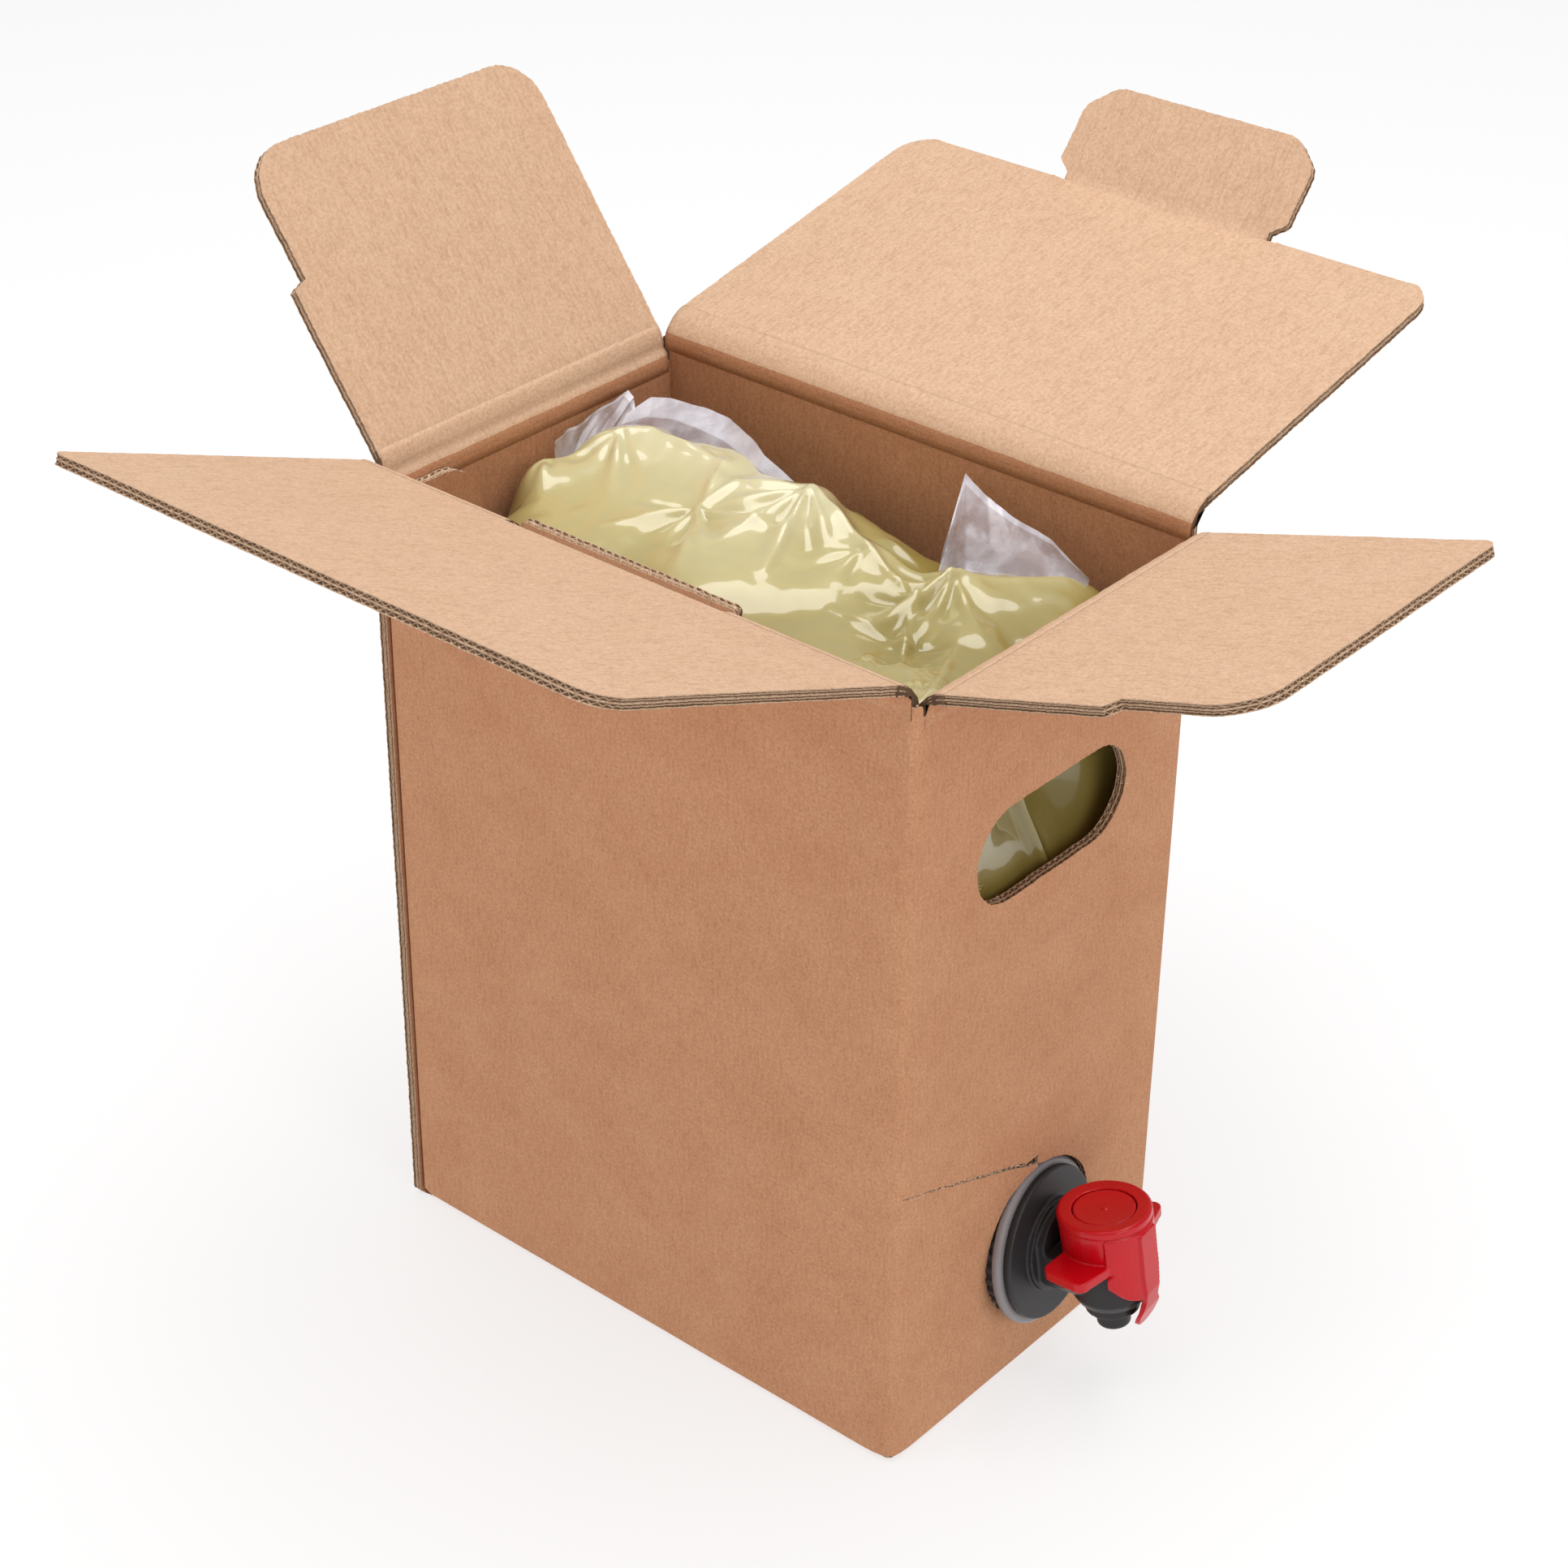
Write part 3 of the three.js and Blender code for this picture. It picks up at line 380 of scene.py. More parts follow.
def mix_colour(tree, mode, fac, a, b):
    made = node(tree, "ShaderNodeMix", data_type="RGBA", blend_type=mode)
    for socket, value in ((made.inputs[0], fac), (made.inputs[6], a), (made.inputs[7], b)):
        if isinstance(value, (int, float)):
            socket.default_value = value
        elif isinstance(value, tuple):
            socket.default_value = (*value, 1.0)
        else:
            tree.links.new(value, socket)
    return made.outputs[2]


def srgb(r, g, b):
    """A colour as the eye reads it (0 to 255), in the linear form that shaders take."""
    return tuple(((c / 255 + 0.055) / 1.055) ** 2.4 if c > 10 else c / 255 / 12.92 for c in (r, g, b))


def shader(tree, **inputs):
    surface = node(tree, "ShaderNodeBsdfPrincipled")
    for key, value in inputs.items():
        socket = surface.inputs[key.replace("_", " ")]
        if hasattr(value, "links") or hasattr(value, "is_linked"):
            tree.links.new(value, socket)
        elif isinstance(value, tuple):
            wide = len(socket.default_value) == 4 and len(value) == 3
            socket.default_value = (*value, 1.0) if wide else value
        else:
            socket.default_value = value
    return surface


def finish_material(tree, surface):
    output = node(tree, "ShaderNodeOutputMaterial")
    tree.links.new(surface.outputs[0], output.inputs["Surface"])


def bump(tree, height, strength, distance):
    made = node(tree, "ShaderNodeBump")
    made.inputs["Strength"].default_value = strength
    made.inputs["Distance"].default_value = distance
    tree.links.new(height, made.inputs["Height"])
    return made.outputs["Normal"]


def kraft(name, dark, light, patch_depth, patch_tint):
    """Kraft liner: soft patches, fine grain and short fibres."""
    material, tree = new_material(name)
    where = attribute(tree, "board").outputs["Vector"]
    patches = noise(tree, where, 0.045, 5, 0.65)
    grain = noise(tree, where, 1.1, 5, 0.8)
    fibres = noise(tree, where, 0.9, 4, 0.7, stretch=(1.0, 0.22, 1.0))
    specks = noise(tree, where, 2.6, 2, 0.5)
    base = ramp(tree, grain, [(0.3, dark), (0.7, light)])
    soft = ramp(tree, patches, [(0.3, patch_tint), (0.7, (1, 1, 1))])
    base = mix_colour(tree, "MULTIPLY", patch_depth, base, soft)
    lines = ramp(tree, fibres, [(0.32, (0.74, 0.68, 0.62)), (0.5, (1, 1, 1)), (0.7, (1.12, 1.12, 1.12))])
    base = mix_colour(tree, "MULTIPLY", 0.45, base, lines)
    dots = ramp(tree, specks, [(0.28, (0.7, 0.62, 0.55)), (0.36, (1, 1, 1))])
    base = mix_colour(tree, "MULTIPLY", 0.3, base, dots)
    rough = bump(tree, fibres, 0.12, 0.0002)
    finish_material(tree, shader(
        tree, Base_Color=base, Roughness=0.85, Specular_IOR_Level=0.25, Normal=rough,
    ))
    return material


def cut_edge(name):
    """The cut through the board: three liners with two rows of open flutes between them, the gaps between
    the flutes painted dark as shade.
    """
    material, tree = new_material(name)
    at = attribute(tree, "cut").outputs["Vector"]
    split = node(tree, "ShaderNodeSeparateXYZ")
    tree.links.new(at, split.inputs[0])
    run, level, across = split.outputs
    phase = maths(tree, "MULTIPLY", run, 2 * math.pi / FLUTE_PITCH)
    wave = maths(tree, "MULTIPLY", maths(tree, "SINE", phase), 0.36)
    wave = maths(tree, "MULTIPLY", wave, across)
    row = maths(tree, "PINGPONG", level, BOARD / 2)
    offset = maths(tree, "SUBTRACT", row, BOARD / 4)
    gap = maths(tree, "ABSOLUTE", maths(tree, "SUBTRACT", offset, wave))
    paper = maths(tree, "LESS_THAN", gap, 0.17)
    liner = maths(tree, "GREATER_THAN", maths(tree, "ABSOLUTE", offset), 0.46)
    solid = maths(tree, "MAXIMUM", paper, liner)
    fuzz = noise(tree, at, 1.4, 3, 0.7)
    light = ramp(tree, fuzz, [(0.3, srgb(150, 118, 92)), (0.7, srgb(214, 184, 154))])
    # Painted shade: the open gaps between the flutes are coloured dark instead of being cut as hollows
    flute_gap_shade = ramp(tree, fuzz, [(0.3, srgb(78, 56, 42)), (0.7, srgb(128, 98, 76))])
    base = mix_colour(tree, "MIX", solid, flute_gap_shade, light)
    finish_material(tree, shader(tree, Base_Color=base, Roughness=0.95, Specular_IOR_Level=0.15))
    return material


def torn_fibre(name):
    material, tree = new_material(name)
    at = node(tree, "ShaderNodeTexCoord").outputs["Object"]
    fuzz = noise(tree, at, 1500, 3, 0.7)
    base = ramp(tree, fuzz, [(0.3, srgb(214, 178, 146)), (0.7, srgb(240, 214, 186))])
    finish_material(tree, shader(tree, Base_Color=base, Roughness=0.95, Specular_IOR_Level=0.1))
    return material


def plastic(name, colour, roughness, coat=0.0, grain=0.05):
    material, tree = new_material(name)
    at = node(tree, "ShaderNodeTexCoord").outputs["Object"]
    fine = noise(tree, at, 900, 3, 0.6)
    tone = ramp(tree, noise(tree, at, 60, 2, 0.5), [
        (0.3, tuple(c * 0.92 for c in colour)), (0.7, tuple(min(1, c * 1.06) for c in colour)),
    ])
    finish_material(tree, shader(
        tree, Base_Color=tone, Roughness=roughness, Coat_Weight=coat, Coat_Roughness=0.2,
        Normal=bump(tree, fine, grain, 0.0001), Specular_IOR_Level=0.35,
    ))
    return material


def film_over_liquid_painted_shade(name):
    """Glossy film with the pale olive liquid showing through; its colour is painted shade in the low folds
    and painted light on the high crests.
    """
    material, tree = new_material(name)
    at = attribute(tree, "bag").outputs["Vector"]
    split = node(tree, "ShaderNodeSeparateXYZ")
    tree.links.new(at, split.inputs[0])
    depth = split.outputs["Z"]
    # Painted shade and light: the colour runs from dark olive on the bag's low parts to pale cream on its
    # highest folds
    tone = ramp(tree, depth, [
        (0.0, srgb(98, 82, 28)), (0.35, srgb(146, 130, 66)),
        (0.65, srgb(184, 171, 116)), (1.0, srgb(206, 197, 156)),
    ])
    where = node(tree, "ShaderNodeTexCoord").outputs["Object"]
    small = noise(tree, where, 160, 3, 0.55)
    big = noise(tree, where, 45, 3, 0.5)
    wrinkle = maths(tree, "ADD", maths(tree, "MULTIPLY", small, 0.35), big)
    finish_material(tree, shader(
        tree, Base_Color=tone, Roughness=0.3, Specular_IOR_Level=0.5,
        Coat_Weight=1.0, Coat_Roughness=0.05, Coat_IOR=1.5,
        Subsurface_Weight=0.15, Subsurface_Radius=(0.01, 0.008, 0.003), Subsurface_Scale=0.5,
        Normal=bump(tree, wrinkle, 0.25, 0.0015),
    ))
    return material


def clear_film(name):
    material, tree = new_material(name)
    at = attribute(tree, "film").outputs["Vector"]
    split = node(tree, "ShaderNodeSeparateXYZ")
    tree.links.new(at, split.inputs[0])
    band = split.outputs["Z"]
    where = node(tree, "ShaderNodeTexCoord").outputs["Object"]
    crinkle = noise(tree, where, 110, 3, 0.5)
    normal = bump(tree, crinkle, 0.5, 0.002)
    clear = node(tree, "ShaderNodeBsdfTransparent")
    clear.inputs["Color"].default_value = (0.93, 0.93, 0.95, 1)
    gloss = shader(
        tree, Base_Color=srgb(214, 212, 220), Roughness=0.22, Specular_IOR_Level=0.7,
        Coat_Weight=0.6, Coat_Roughness=0.08, Normal=normal,
    )
    sheen = ramp(tree, crinkle, [(0.36, (0.24, 0.24, 0.24)), (0.66, (0.52, 0.52, 0.52))])
    cover = maths(tree, "ADD", maths(tree, "MULTIPLY", band, 0.3), sheen, True)
    mixed = node(tree, "ShaderNodeMixShader")
    tree.links.new(cover, mixed.inputs[0])
    tree.links.new(clear.outputs[0], mixed.inputs[1])
    tree.links.new(gloss.outputs[0], mixed.inputs[2])
    finish_material(tree, mixed)
    return material


OUTSIDE = kraft("kraft_outside", srgb(181, 127, 91), srgb(217, 166, 128), 0.5, srgb(232, 214, 206))
INSIDE = kraft("kraft_inside", srgb(186, 149, 119), srgb(216, 184, 155), 0.3, srgb(240, 230, 224))
# The walls' inner liner: the inside kraft painted darker, as painted shade inside the carton
SHADED_INNER_WALL = kraft("kraft_inner_wall_painted_shade", srgb(166, 114, 80), srgb(198, 147, 110), 0.35, srgb(232, 214, 206))
EDGE = cut_edge("cut_edge")
TORN = torn_fibre("torn_fibre")
RED = plastic("red_plastic", srgb(200, 0, 20), 0.3, coat=0.15)
BLACK = plastic("black_plastic", srgb(44, 42, 43), 0.42)
GREY = plastic("grey_plastic", srgb(140, 134, 134), 0.4)
DARK = plastic("dark_plastic", srgb(58, 56, 57), 0.5)
WHITE = plastic("white_plastic", srgb(214, 210, 200), 0.5)
RUBBER = plastic("black_rubber", srgb(45, 43, 42), 0.75)
BAG = film_over_liquid_painted_shade("film_over_liquid_painted_shade")
FILM = clear_film("clear_film")
BOARD_SET = [OUTSIDE, INSIDE, EDGE]
WALL_SET = [OUTSIDE, SHADED_INNER_WALL, EDGE]


# Flaps

def flap_axes(outward, slope):
    c, s = math.cos(math.radians(slope)), math.sin(math.radians(slope))
    es = np.array((outward[0] * c, outward[1] * c, s))
    en = np.array((-outward[0] * s, -outward[1] * s, c))
    return np.cross(es, en), es, en


def flap_placer(outward, axis, slope):
    """Panel space to the row frame, with the flap's root crushed thin."""
    eu, es, en = flap_axes(outward, slope)

    def place(u, s, n):
        n = n * (1 - ROOT_CRUSH * (1 - smoothstep(0.0, ROOT_CRUSH_LEN, s)) * (n > 0))
        return np.array(axis) + u[:, None] * eu + s[:, None] * es + n[:, None] * en

    return place


LOCK_AT = (0, -HALF_W, LOCK_AXIS_Z)
COVER_AT = (0, HALF_W, COVER_AXIS_Z)
REAR_AT = (-HALF_L, 0, SIDE_AXIS_Z)
TAP_SIDE_AT = (HALF_L, 0, SIDE_AXIS_Z)


def lock_flap():
    edge = HALF_L - LOCK_SIDE_CLEAR
    s0, s1 = -STRIP_X1 - STRIP_SLOT_CLEAR, -STRIP_X0 + STRIP_SLOT_CLEAR
    outline = rounded([
        (-edge, ROOT, 0), (s0, ROOT, 0), (s0, STRIP_SLOT_DEPTH, 0.8), (s1, STRIP_SLOT_DEPTH, 0.8),
        (s1, ROOT, 0), (edge, ROOT, 0), (edge, LOCK_LEN, 3), (-edge + 2.6, LOCK_LEN, 9),
    ])
    place = flap_placer((0, -1), LOCK_AT, LOCK_SLOPE)
    obj = board_panel("lock_flap_board", outline, place, BOARD_SET, seed=3)
    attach(obj, "lock")
    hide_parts("lock_flap")


def cover_flap():
    edge = HALF_L - COVER_SIDE_CLEAR
    neck, half = TUCK_NECK_HALF, TUCK_HALF
    end = COVER_LEN + TUCK_LEN
    outline = rounded([
        (-edge, ROOT, 0), (edge, ROOT, 0), (edge, COVER_LEN, 11), (neck + 4, COVER_LEN, 0),
        (neck + 3.5, COVER_LEN - 1.6, 0), (neck, COVER_LEN - 1.6, 0), (neck, COVER_LEN + TUCK_NECK_LEN, 0),
        (half, COVER_LEN + TUCK_NECK_LEN + 3.4, 2.2), (half, end - 8, 6), (half - 9, end, 8),
        (-half + 9, end, 8), (-half, end - 8, 6), (-half, COVER_LEN + TUCK_NECK_LEN + 3.4, 2.2),
        (-neck, COVER_LEN + TUCK_NECK_LEN, 0), (-neck, COVER_LEN - 1.6, 0),
        (-neck - 3.5, COVER_LEN - 1.6, 0), (-neck - 4, COVER_LEN, 0), (-edge, COVER_LEN, 13),
    ])
    flat = flap_placer((0, 1), COVER_AT, COVER_SLOPE)
    eu, es, en = flap_axes((0, 1), COVER_SLOPE)
    origin = np.array(COVER_AT)
    bend = math.radians(TUCK_BEND)
    turn_s = es * math.cos(bend) + en * math.sin(bend)
    turn_n = en * math.cos(bend) - es * math.sin(bend)

    def place(u, s, n):
        level = flat(u, s, n)
        past = s - COVER_LEN
        valley = 0.5 * np.exp(-(past / 1.3) ** 2) * (n > BOARD / 2) * (np.abs(u) < neck + 1)
        level = level - valley[:, None] * en
        fold = origin + COVER_LEN * es
        folded = fold + u[:, None] * eu + past[:, None] * turn_s + (n - valley)[:, None] * turn_n
        w = smoothstep(-1.2, 1.2, past)[:, None]
        return level * (1 - w) + folded * w

    obj = board_panel("cover_board", outline, place, BOARD_SET, seed=5, grid=4.0)
    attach(obj, "cover")
    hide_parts("cover_flap")


def side_flap(name, body, cad_node, outward, at, slope, sign, seed):
    inner = HALF_W - BOARD - SIDE_FLAP_CLEAR
    corners = [
        (-inner, ROOT, 0), (inner, ROOT, 0), (inner, SIDE_LEN, 14 if sign > 0 else 5),
        (-inner + SIDE_NOTCH, SIDE_LEN, 14), (-inner + SIDE_NOTCH, SIDE_NOTCH_AT + 2, 0),
        (-inner, SIDE_NOTCH_AT, 0),
    ]
    if sign < 0:
        corners = [(-u, s, r) for u, s, r in corners][::-1]
    obj = board_panel(name, rounded(corners), flap_placer(outward, at, slope), BOARD_SET, seed=seed)
    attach(obj, body)
    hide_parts(cad_node)


def crease(name, outward, at, slope, u0, u1, wall_low=7.0, flap_far=6.5, seed=1):
    """The crushed fold between a wall and its flap: a thin sleeve over both."""
    eu, es, en = flap_axes(outward, slope)
    out = np.array((outward[0], outward[1], 0.0))
    up = np.array((0.0, 0.0, 1.0))
    origin = np.array(at)
    skin = CREASE_SKIN
    outer = [out * skin - up * wall_low, out * skin - up * wall_low * 0.5, out * skin - up * 1.2]
    outer += [side * skin for side in (out, (out - en) / np.linalg.norm(out - en))]
    outer += [es * 1.2 - en * skin, es * flap_far * 0.5 - en * skin, es * flap_far - en * skin]
    inner_wall = -out * (BOARD + skin)
    inner = [
        es * flap_far + en * (BOARD + skin), es * 5.0 + en * (BOARD + skin), es * 3.6 + en * (BOARD * 0.96),
        es * 2.2 + en * (BOARD * 0.80), es * 0.9 + en * (BOARD * 0.66), -out * 0.9 + up * 0.7,
        -out * 1.9 - up * 0.5, -out * 2.6 - up * 1.6, -out * BOARD - up * 3.2,
        inner_wall - up * 4.6, inner_wall - up * wall_low,
    ]
    section = np.array(outer + inner)
    # Slot 3 is the walls' inner kraft, which carries painted shade
    kinds = [0] * (len(outer) - 1) + [2] + [1] * 7 + [3] * (len(inner) - 8) + [2]
    count = int(abs(u1 - u0) / 1.5) + 2
    us = np.linspace(u0, u1, count)
    rows, board = [], []
    for u in us:
        wob = 0.16 * waves(np.full(len(section), u), np.arange(len(section)) * 2.0, 14, seed, 3)
        depth = np.where(np.arange(len(section)) >= len(outer) + 2, wob, wob * 0.25)
        push = section - section.mean(0)
        push = push / np.linalg.norm(push, axis=1)[:, None]
        depth[0] = depth[-1] = depth[len(outer) - 1] = depth[len(outer)] = 0
        rows.append(origin + eu * u + section + push * depth[:, None])
        board.append(np.stack((np.full(len(section), u), np.arange(len(section)) * 1.6, section[:, 2]), 1))
    m = len(section)
    faces, slots = [], []
    for r in range(count - 1):
        for i in range(m):
            j = (i + 1) % m
            faces.append([r * m + i, r * m + j, (r + 1) * m + j, (r + 1) * m + i])
            slots.append(kinds[i])
    faces.append(list(range(m))[::-1])
    faces.append([(count - 1) * m + i for i in range(m)])
    slots += [2, 2]
    pts = np.vstack(rows)
    cut = np.stack((pts[:, 0], np.full(len(pts), 0.4), np.zeros(len(pts))), 1)
    obj = make_object(
        name, pts, faces, [*BOARD_SET, SHADED_INNER_WALL], slots, True, {"board": np.vstack(board), "cut": cut},
    )
    along = es + up
    along = along / np.linalg.norm(along)
    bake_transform(obj)


def creases():
    edge = HALF_L - LOCK_SIDE_CLEAR
    s0, s1 = -STRIP_X1 - STRIP_SLOT_CLEAR, -STRIP_X0 + STRIP_SLOT_CLEAR
    crease("lock_crease_left", (0, -1), LOCK_AT, LOCK_SLOPE, -edge, s0, seed=11)
    crease("lock_crease_right", (0, -1), LOCK_AT, LOCK_SLOPE, s1, edge, seed=12)
    wide = HALF_L - COVER_SIDE_CLEAR
    crease("cover_crease", (0, 1), COVER_AT, COVER_SLOPE, -wide, wide, seed=13)
    side = HALF_W - BOARD - SIDE_FLAP_CLEAR
    crease("rear_crease", (-1, 0), REAR_AT, REAR_SIDE_SLOPE, -side, side, seed=14)
    crease("tap_side_crease", (1, 0), TAP_SIDE_AT, TAP_SIDE_SLOPE, -side, side, seed=15)


# Walls: one long panel that goes round the carton and ends in the glue flap

def wall_path():
    """Corners of the outer liner seen from above, from the raw edge round to the glue flap's end."""
    corners = [
        (-HALF_L, -HALF_W - RAW_EDGE_PROUD), (-HALF_L, HALF_W), (HALF_L, HALF_W), (HALF_L, -HALF_W),
        (-HALF_L + BOARD + 0.5, -HALF_W), (-HALF_L + BOARD + 0.5, -HALF_W + BOARD + GLUE_FLAP_W),
    ]
    return [np.array(c, float) for c in corners]


def wall_placer():
    corners = wall_path()
    lengths = [np.linalg.norm(b - a) for a, b in zip(corners, corners[1:])]
    starts = np.concatenate(([0], np.cumsum(lengths)))
    radii = [0, CORNER_R, CORNER_R, CORNER_R, GLUE_CORNER_R]

    def place(p, s, n):
        xy = np.zeros((len(p), 2))
        normal = np.zeros((len(p), 2))
        for i, length in enumerate(lengths):
            heading = (corners[i + 1] - corners[i]) / length
            right = np.array((heading[1], -heading[0]))
            here = (p >= starts[i]) & (p <= starts[i + 1]) if i else p <= starts[1]
            if i == len(lengths) - 1:
                here = p >= starts[i]
            xy[here] = corners[i] + (p[here] - starts[i])[:, None] * heading
            normal[here] = right
        for i in range(1, len(lengths)):
            r = radii[i]
            h0 = (corners[i] - corners[i - 1]) / lengths[i - 1]
            n0 = np.array((h0[1], -h0[0]))
            near = np.abs(p - starts[i]) < r
            if not near.any():
                continue
            a = (p[near] - starts[i] + r) / (2 * r) * math.pi / 2
            centre = corners[i] - h0 * r + n0 * r
            direction = -n0 * np.cos(a)[:, None] + h0 * np.sin(a)[:, None]
            xy[near] = centre + direction * r
            normal[near] = -direction
        s = np.maximum(s, LOWEST)
        bends = np.min(np.abs(p[:, None] - starts[None, 1:4]), axis=1)
        round_r = BOTTOM_R * (1 + 0.9 * np.exp(-(bends / 5) ** 2))
        low = np.clip(round_r - s, 0, round_r)
        tuck = round_r - np.sqrt(np.maximum(round_r ** 2 - low ** 2, 0))
        depth = n + tuck
        out = np.zeros((len(p), 3))
        out[:, :2] = xy + normal * depth[:, None]
        out[:, 2] = s
        return out

    return place, starts


def bend_columns(bends):
    """Where the rows of points run that carry each bend (middle, radius)."""
    return [at + r * k for at, r in bends for k in (-1.05, -0.7, -0.35, 0.0, 0.35, 0.7, 1.05)]


def walls():
    place, starts = wall_placer()
    p1, p2, p3, p4, p5 = starts[1:]
    lock_top, side_top, cover_top = (z - WALL_TOP_DROP for z in (LOCK_AXIS_Z, SIDE_AXIS_Z, COVER_AXIS_Z))

    def front_p(x):
        return p3 + (HALF_L - x)

    low = LOWEST
    step = 2.8
    top = [
        (p5, low, 0), (p5, GLUE_FLAP_TOP, GLUE_FLAP_R), (p4 + 1.2, GLUE_FLAP_TOP, 1),
        (p4 - 1.2, lock_top - 2, 0.8), (p4 - 2.2, lock_top, 0.8),
        (front_p(STRIP_X0), lock_top, 0), (front_p(STRIP_X0), STRIP_TOP_Z, 1.4),
        (front_p(STRIP_X1), STRIP_TOP_Z, 1.4), (front_p(STRIP_X1), lock_top, 0),
        (p3 - step, lock_top, 0.5), (p3 - step - 0.1, side_top, 0),
        (p2 + step + 0.1, side_top, 0), (p2 + step, cover_top, 0.5),
        (p1 - step, cover_top, 0.5), (p1 - step - 0.1, side_top, 0),
        (0.0, side_top, 0), (0.0, BOTTOM_R * 0.6, 0),
        (2.0, low, 0),
    ]
    outline = rounded(top[::-1], 5)

    def tap_p(y):
        return p2 + (HALF_W - y)

    r = HAND_H / 2 - 0.01
    y0, y1 = HAND_Y - HAND_LEN / 2, HAND_Y + HAND_LEN / 2
    hand = rounded([
        (tap_p(y1), HAND_Z - HAND_H / 2, r), (tap_p(y0), HAND_Z - HAND_H / 2, r),
        (tap_p(y0), HAND_Z + HAND_H / 2, r), (tap_p(y1), HAND_Z + HAND_H / 2, r),
    ], 14)
    centre = tap_p(TAP_Y)
    n0, n1 = tap_p(TAP_Y - 0.5), tap_p(TAP_Y - 0.5 - NOTCH_W)
    loop = []
    arc_steps = 72
    top_angle0 = math.acos((n0 - centre) / TAP_HOLE_R)
    top_angle1 = math.acos((n1 - centre) / TAP_HOLE_R)
    for k in range(arc_steps + 1):
        a = top_angle0 - 2 * math.pi * k / arc_steps * (1 - (top_angle0 - top_angle1) / (2 * math.pi))
        tight = HOLE_TIGHTER * max(0.0, math.cos(a - math.radians(325)))
        loop.append((
            centre + (TAP_HOLE_R - tight) * math.cos(a), TAP_Z + (TAP_HOLE_R - tight) * math.sin(a),
        ))
    corner_p = tap_p(-HALF_W) - 1.4
    slit_top, slit_low = [], []
    slit_steps = 20
    for k in range(slit_steps + 1):
        t = k / slit_steps
        p = n1 + (corner_p - n1) * t
        z = NOTCH_TOP_Z - 0.2 + (SLIT_CORNER_Z - NOTCH_TOP_Z) * t ** 0.93
        jag = 0.5 * float(waves(np.array([p]), np.array([0.0]), 9, 77, 3)[0])
        gape = 0.9 * (1 - t) + 0.35
        slit_top.append((p, z + jag))
        slit_low.append((p, z + jag * 0.6 - gape))
    keyhole = np.array(loop + slit_low + slit_top[::-1] + [(n0, NOTCH_TOP_Z)])
    bends = [(p1, CORNER_R), (p2, CORNER_R), (p3, CORNER_R), (p4, GLUE_CORNER_R)]
    obj = board_panel(
        "carton_walls", outline, place, WALL_SET, holes=[hand, keyhole], seed=21,
        lines=(bend_columns(bends), [0.7, 1.4, 2.1, 2.9]), calm=(228.0, 999.0),
    )
    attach(obj, "carton")
    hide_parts("carton_body")
    torn_fibres(place, slit_top, hand)


def torn_fibres(place, slit, hand):
    """Short light tufts where the board was torn: along the slit and at the hand hole's nicks."""
    rng = np.random.default_rng(5)
    points, faces = [], []

    def tuft(p, s, n, length, width):
        base = len(points)
        a = rng.uniform(0, 2 * math.pi)
        dp, ds = math.cos(a) * length, math.sin(a) * length * 0.5
        w = width * 0.5
        for q, r, h in (
            (p - w, s, n), (p + w, s, n), (p + dp + w * 0.4, s + ds, n - 0.3), (p + dp, s + ds + w, n - 0.2),
        ):
            points.append(place(np.array([q]), np.array([r]), np.array([h]))[0])
        faces.append([base, base + 1, base + 2, base + 3])

    for (p0, z0), (p1, z1) in zip(slit, slit[1:]):
        for _ in range(14):
            t = rng.uniform()
            p, s = p0 + (p1 - p0) * t, z0 + (z1 - z0) * t - 0.25
            tuft(p, s, rng.uniform(-0.1, 0.25), rng.uniform(0.3, 1.3), 0.25)
    for share in (0.03, 0.12, 0.20, 0.29, 0.44, 0.52):
        nick_p, nick_s = hand[int(share * len(hand))]
        for _ in range(26):
            p, s = nick_p + rng.normal() * 0.8, nick_s + rng.normal() * 0.6
            tuft(p, s, rng.uniform(-0.1, 2.8), rng.uniform(0.4, 1.4), 0.3)
    obj = make_object("torn_fibres", np.array(points), faces, [TORN], smooth=False)
    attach(obj, "carton")


def floor_panel():
    """The carton's bottom, inside and underneath."""
    inset = BOTTOM_R * 0.8
    outline = rounded([
        (-HALF_L + inset, -HALF_W + inset, 2), (HALF_L - inset, -HALF_W + inset, 2),
        (HALF_L - inset, HALF_W - inset, 2), (-HALF_L + inset, HALF_W - inset, 2),
    ])

    def place(u, s, n):
        seam = 0.5 * np.exp(-((s - SEAM_Y) / 0.7) ** 2)
        z = np.where(n < BOARD / 2, 0.05 + seam, 2 * BOARD)
        return np.stack((u, s, z), 1)

    # The bottom's inner face takes the walls' inner kraft, which carries painted shade
    obj = board_panel("carton_bottom", outline, place, WALL_SET, seed=31, grid=8.0)
    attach(obj, "carton")


# Filled bag

BAG_TOP_LIMIT, BAG_MIDDLE_Z = 243.0, 228.0
BAG_CLEAR, BAG_BOTTOM, BAG_ROWS = 0.6, 6.4, 80
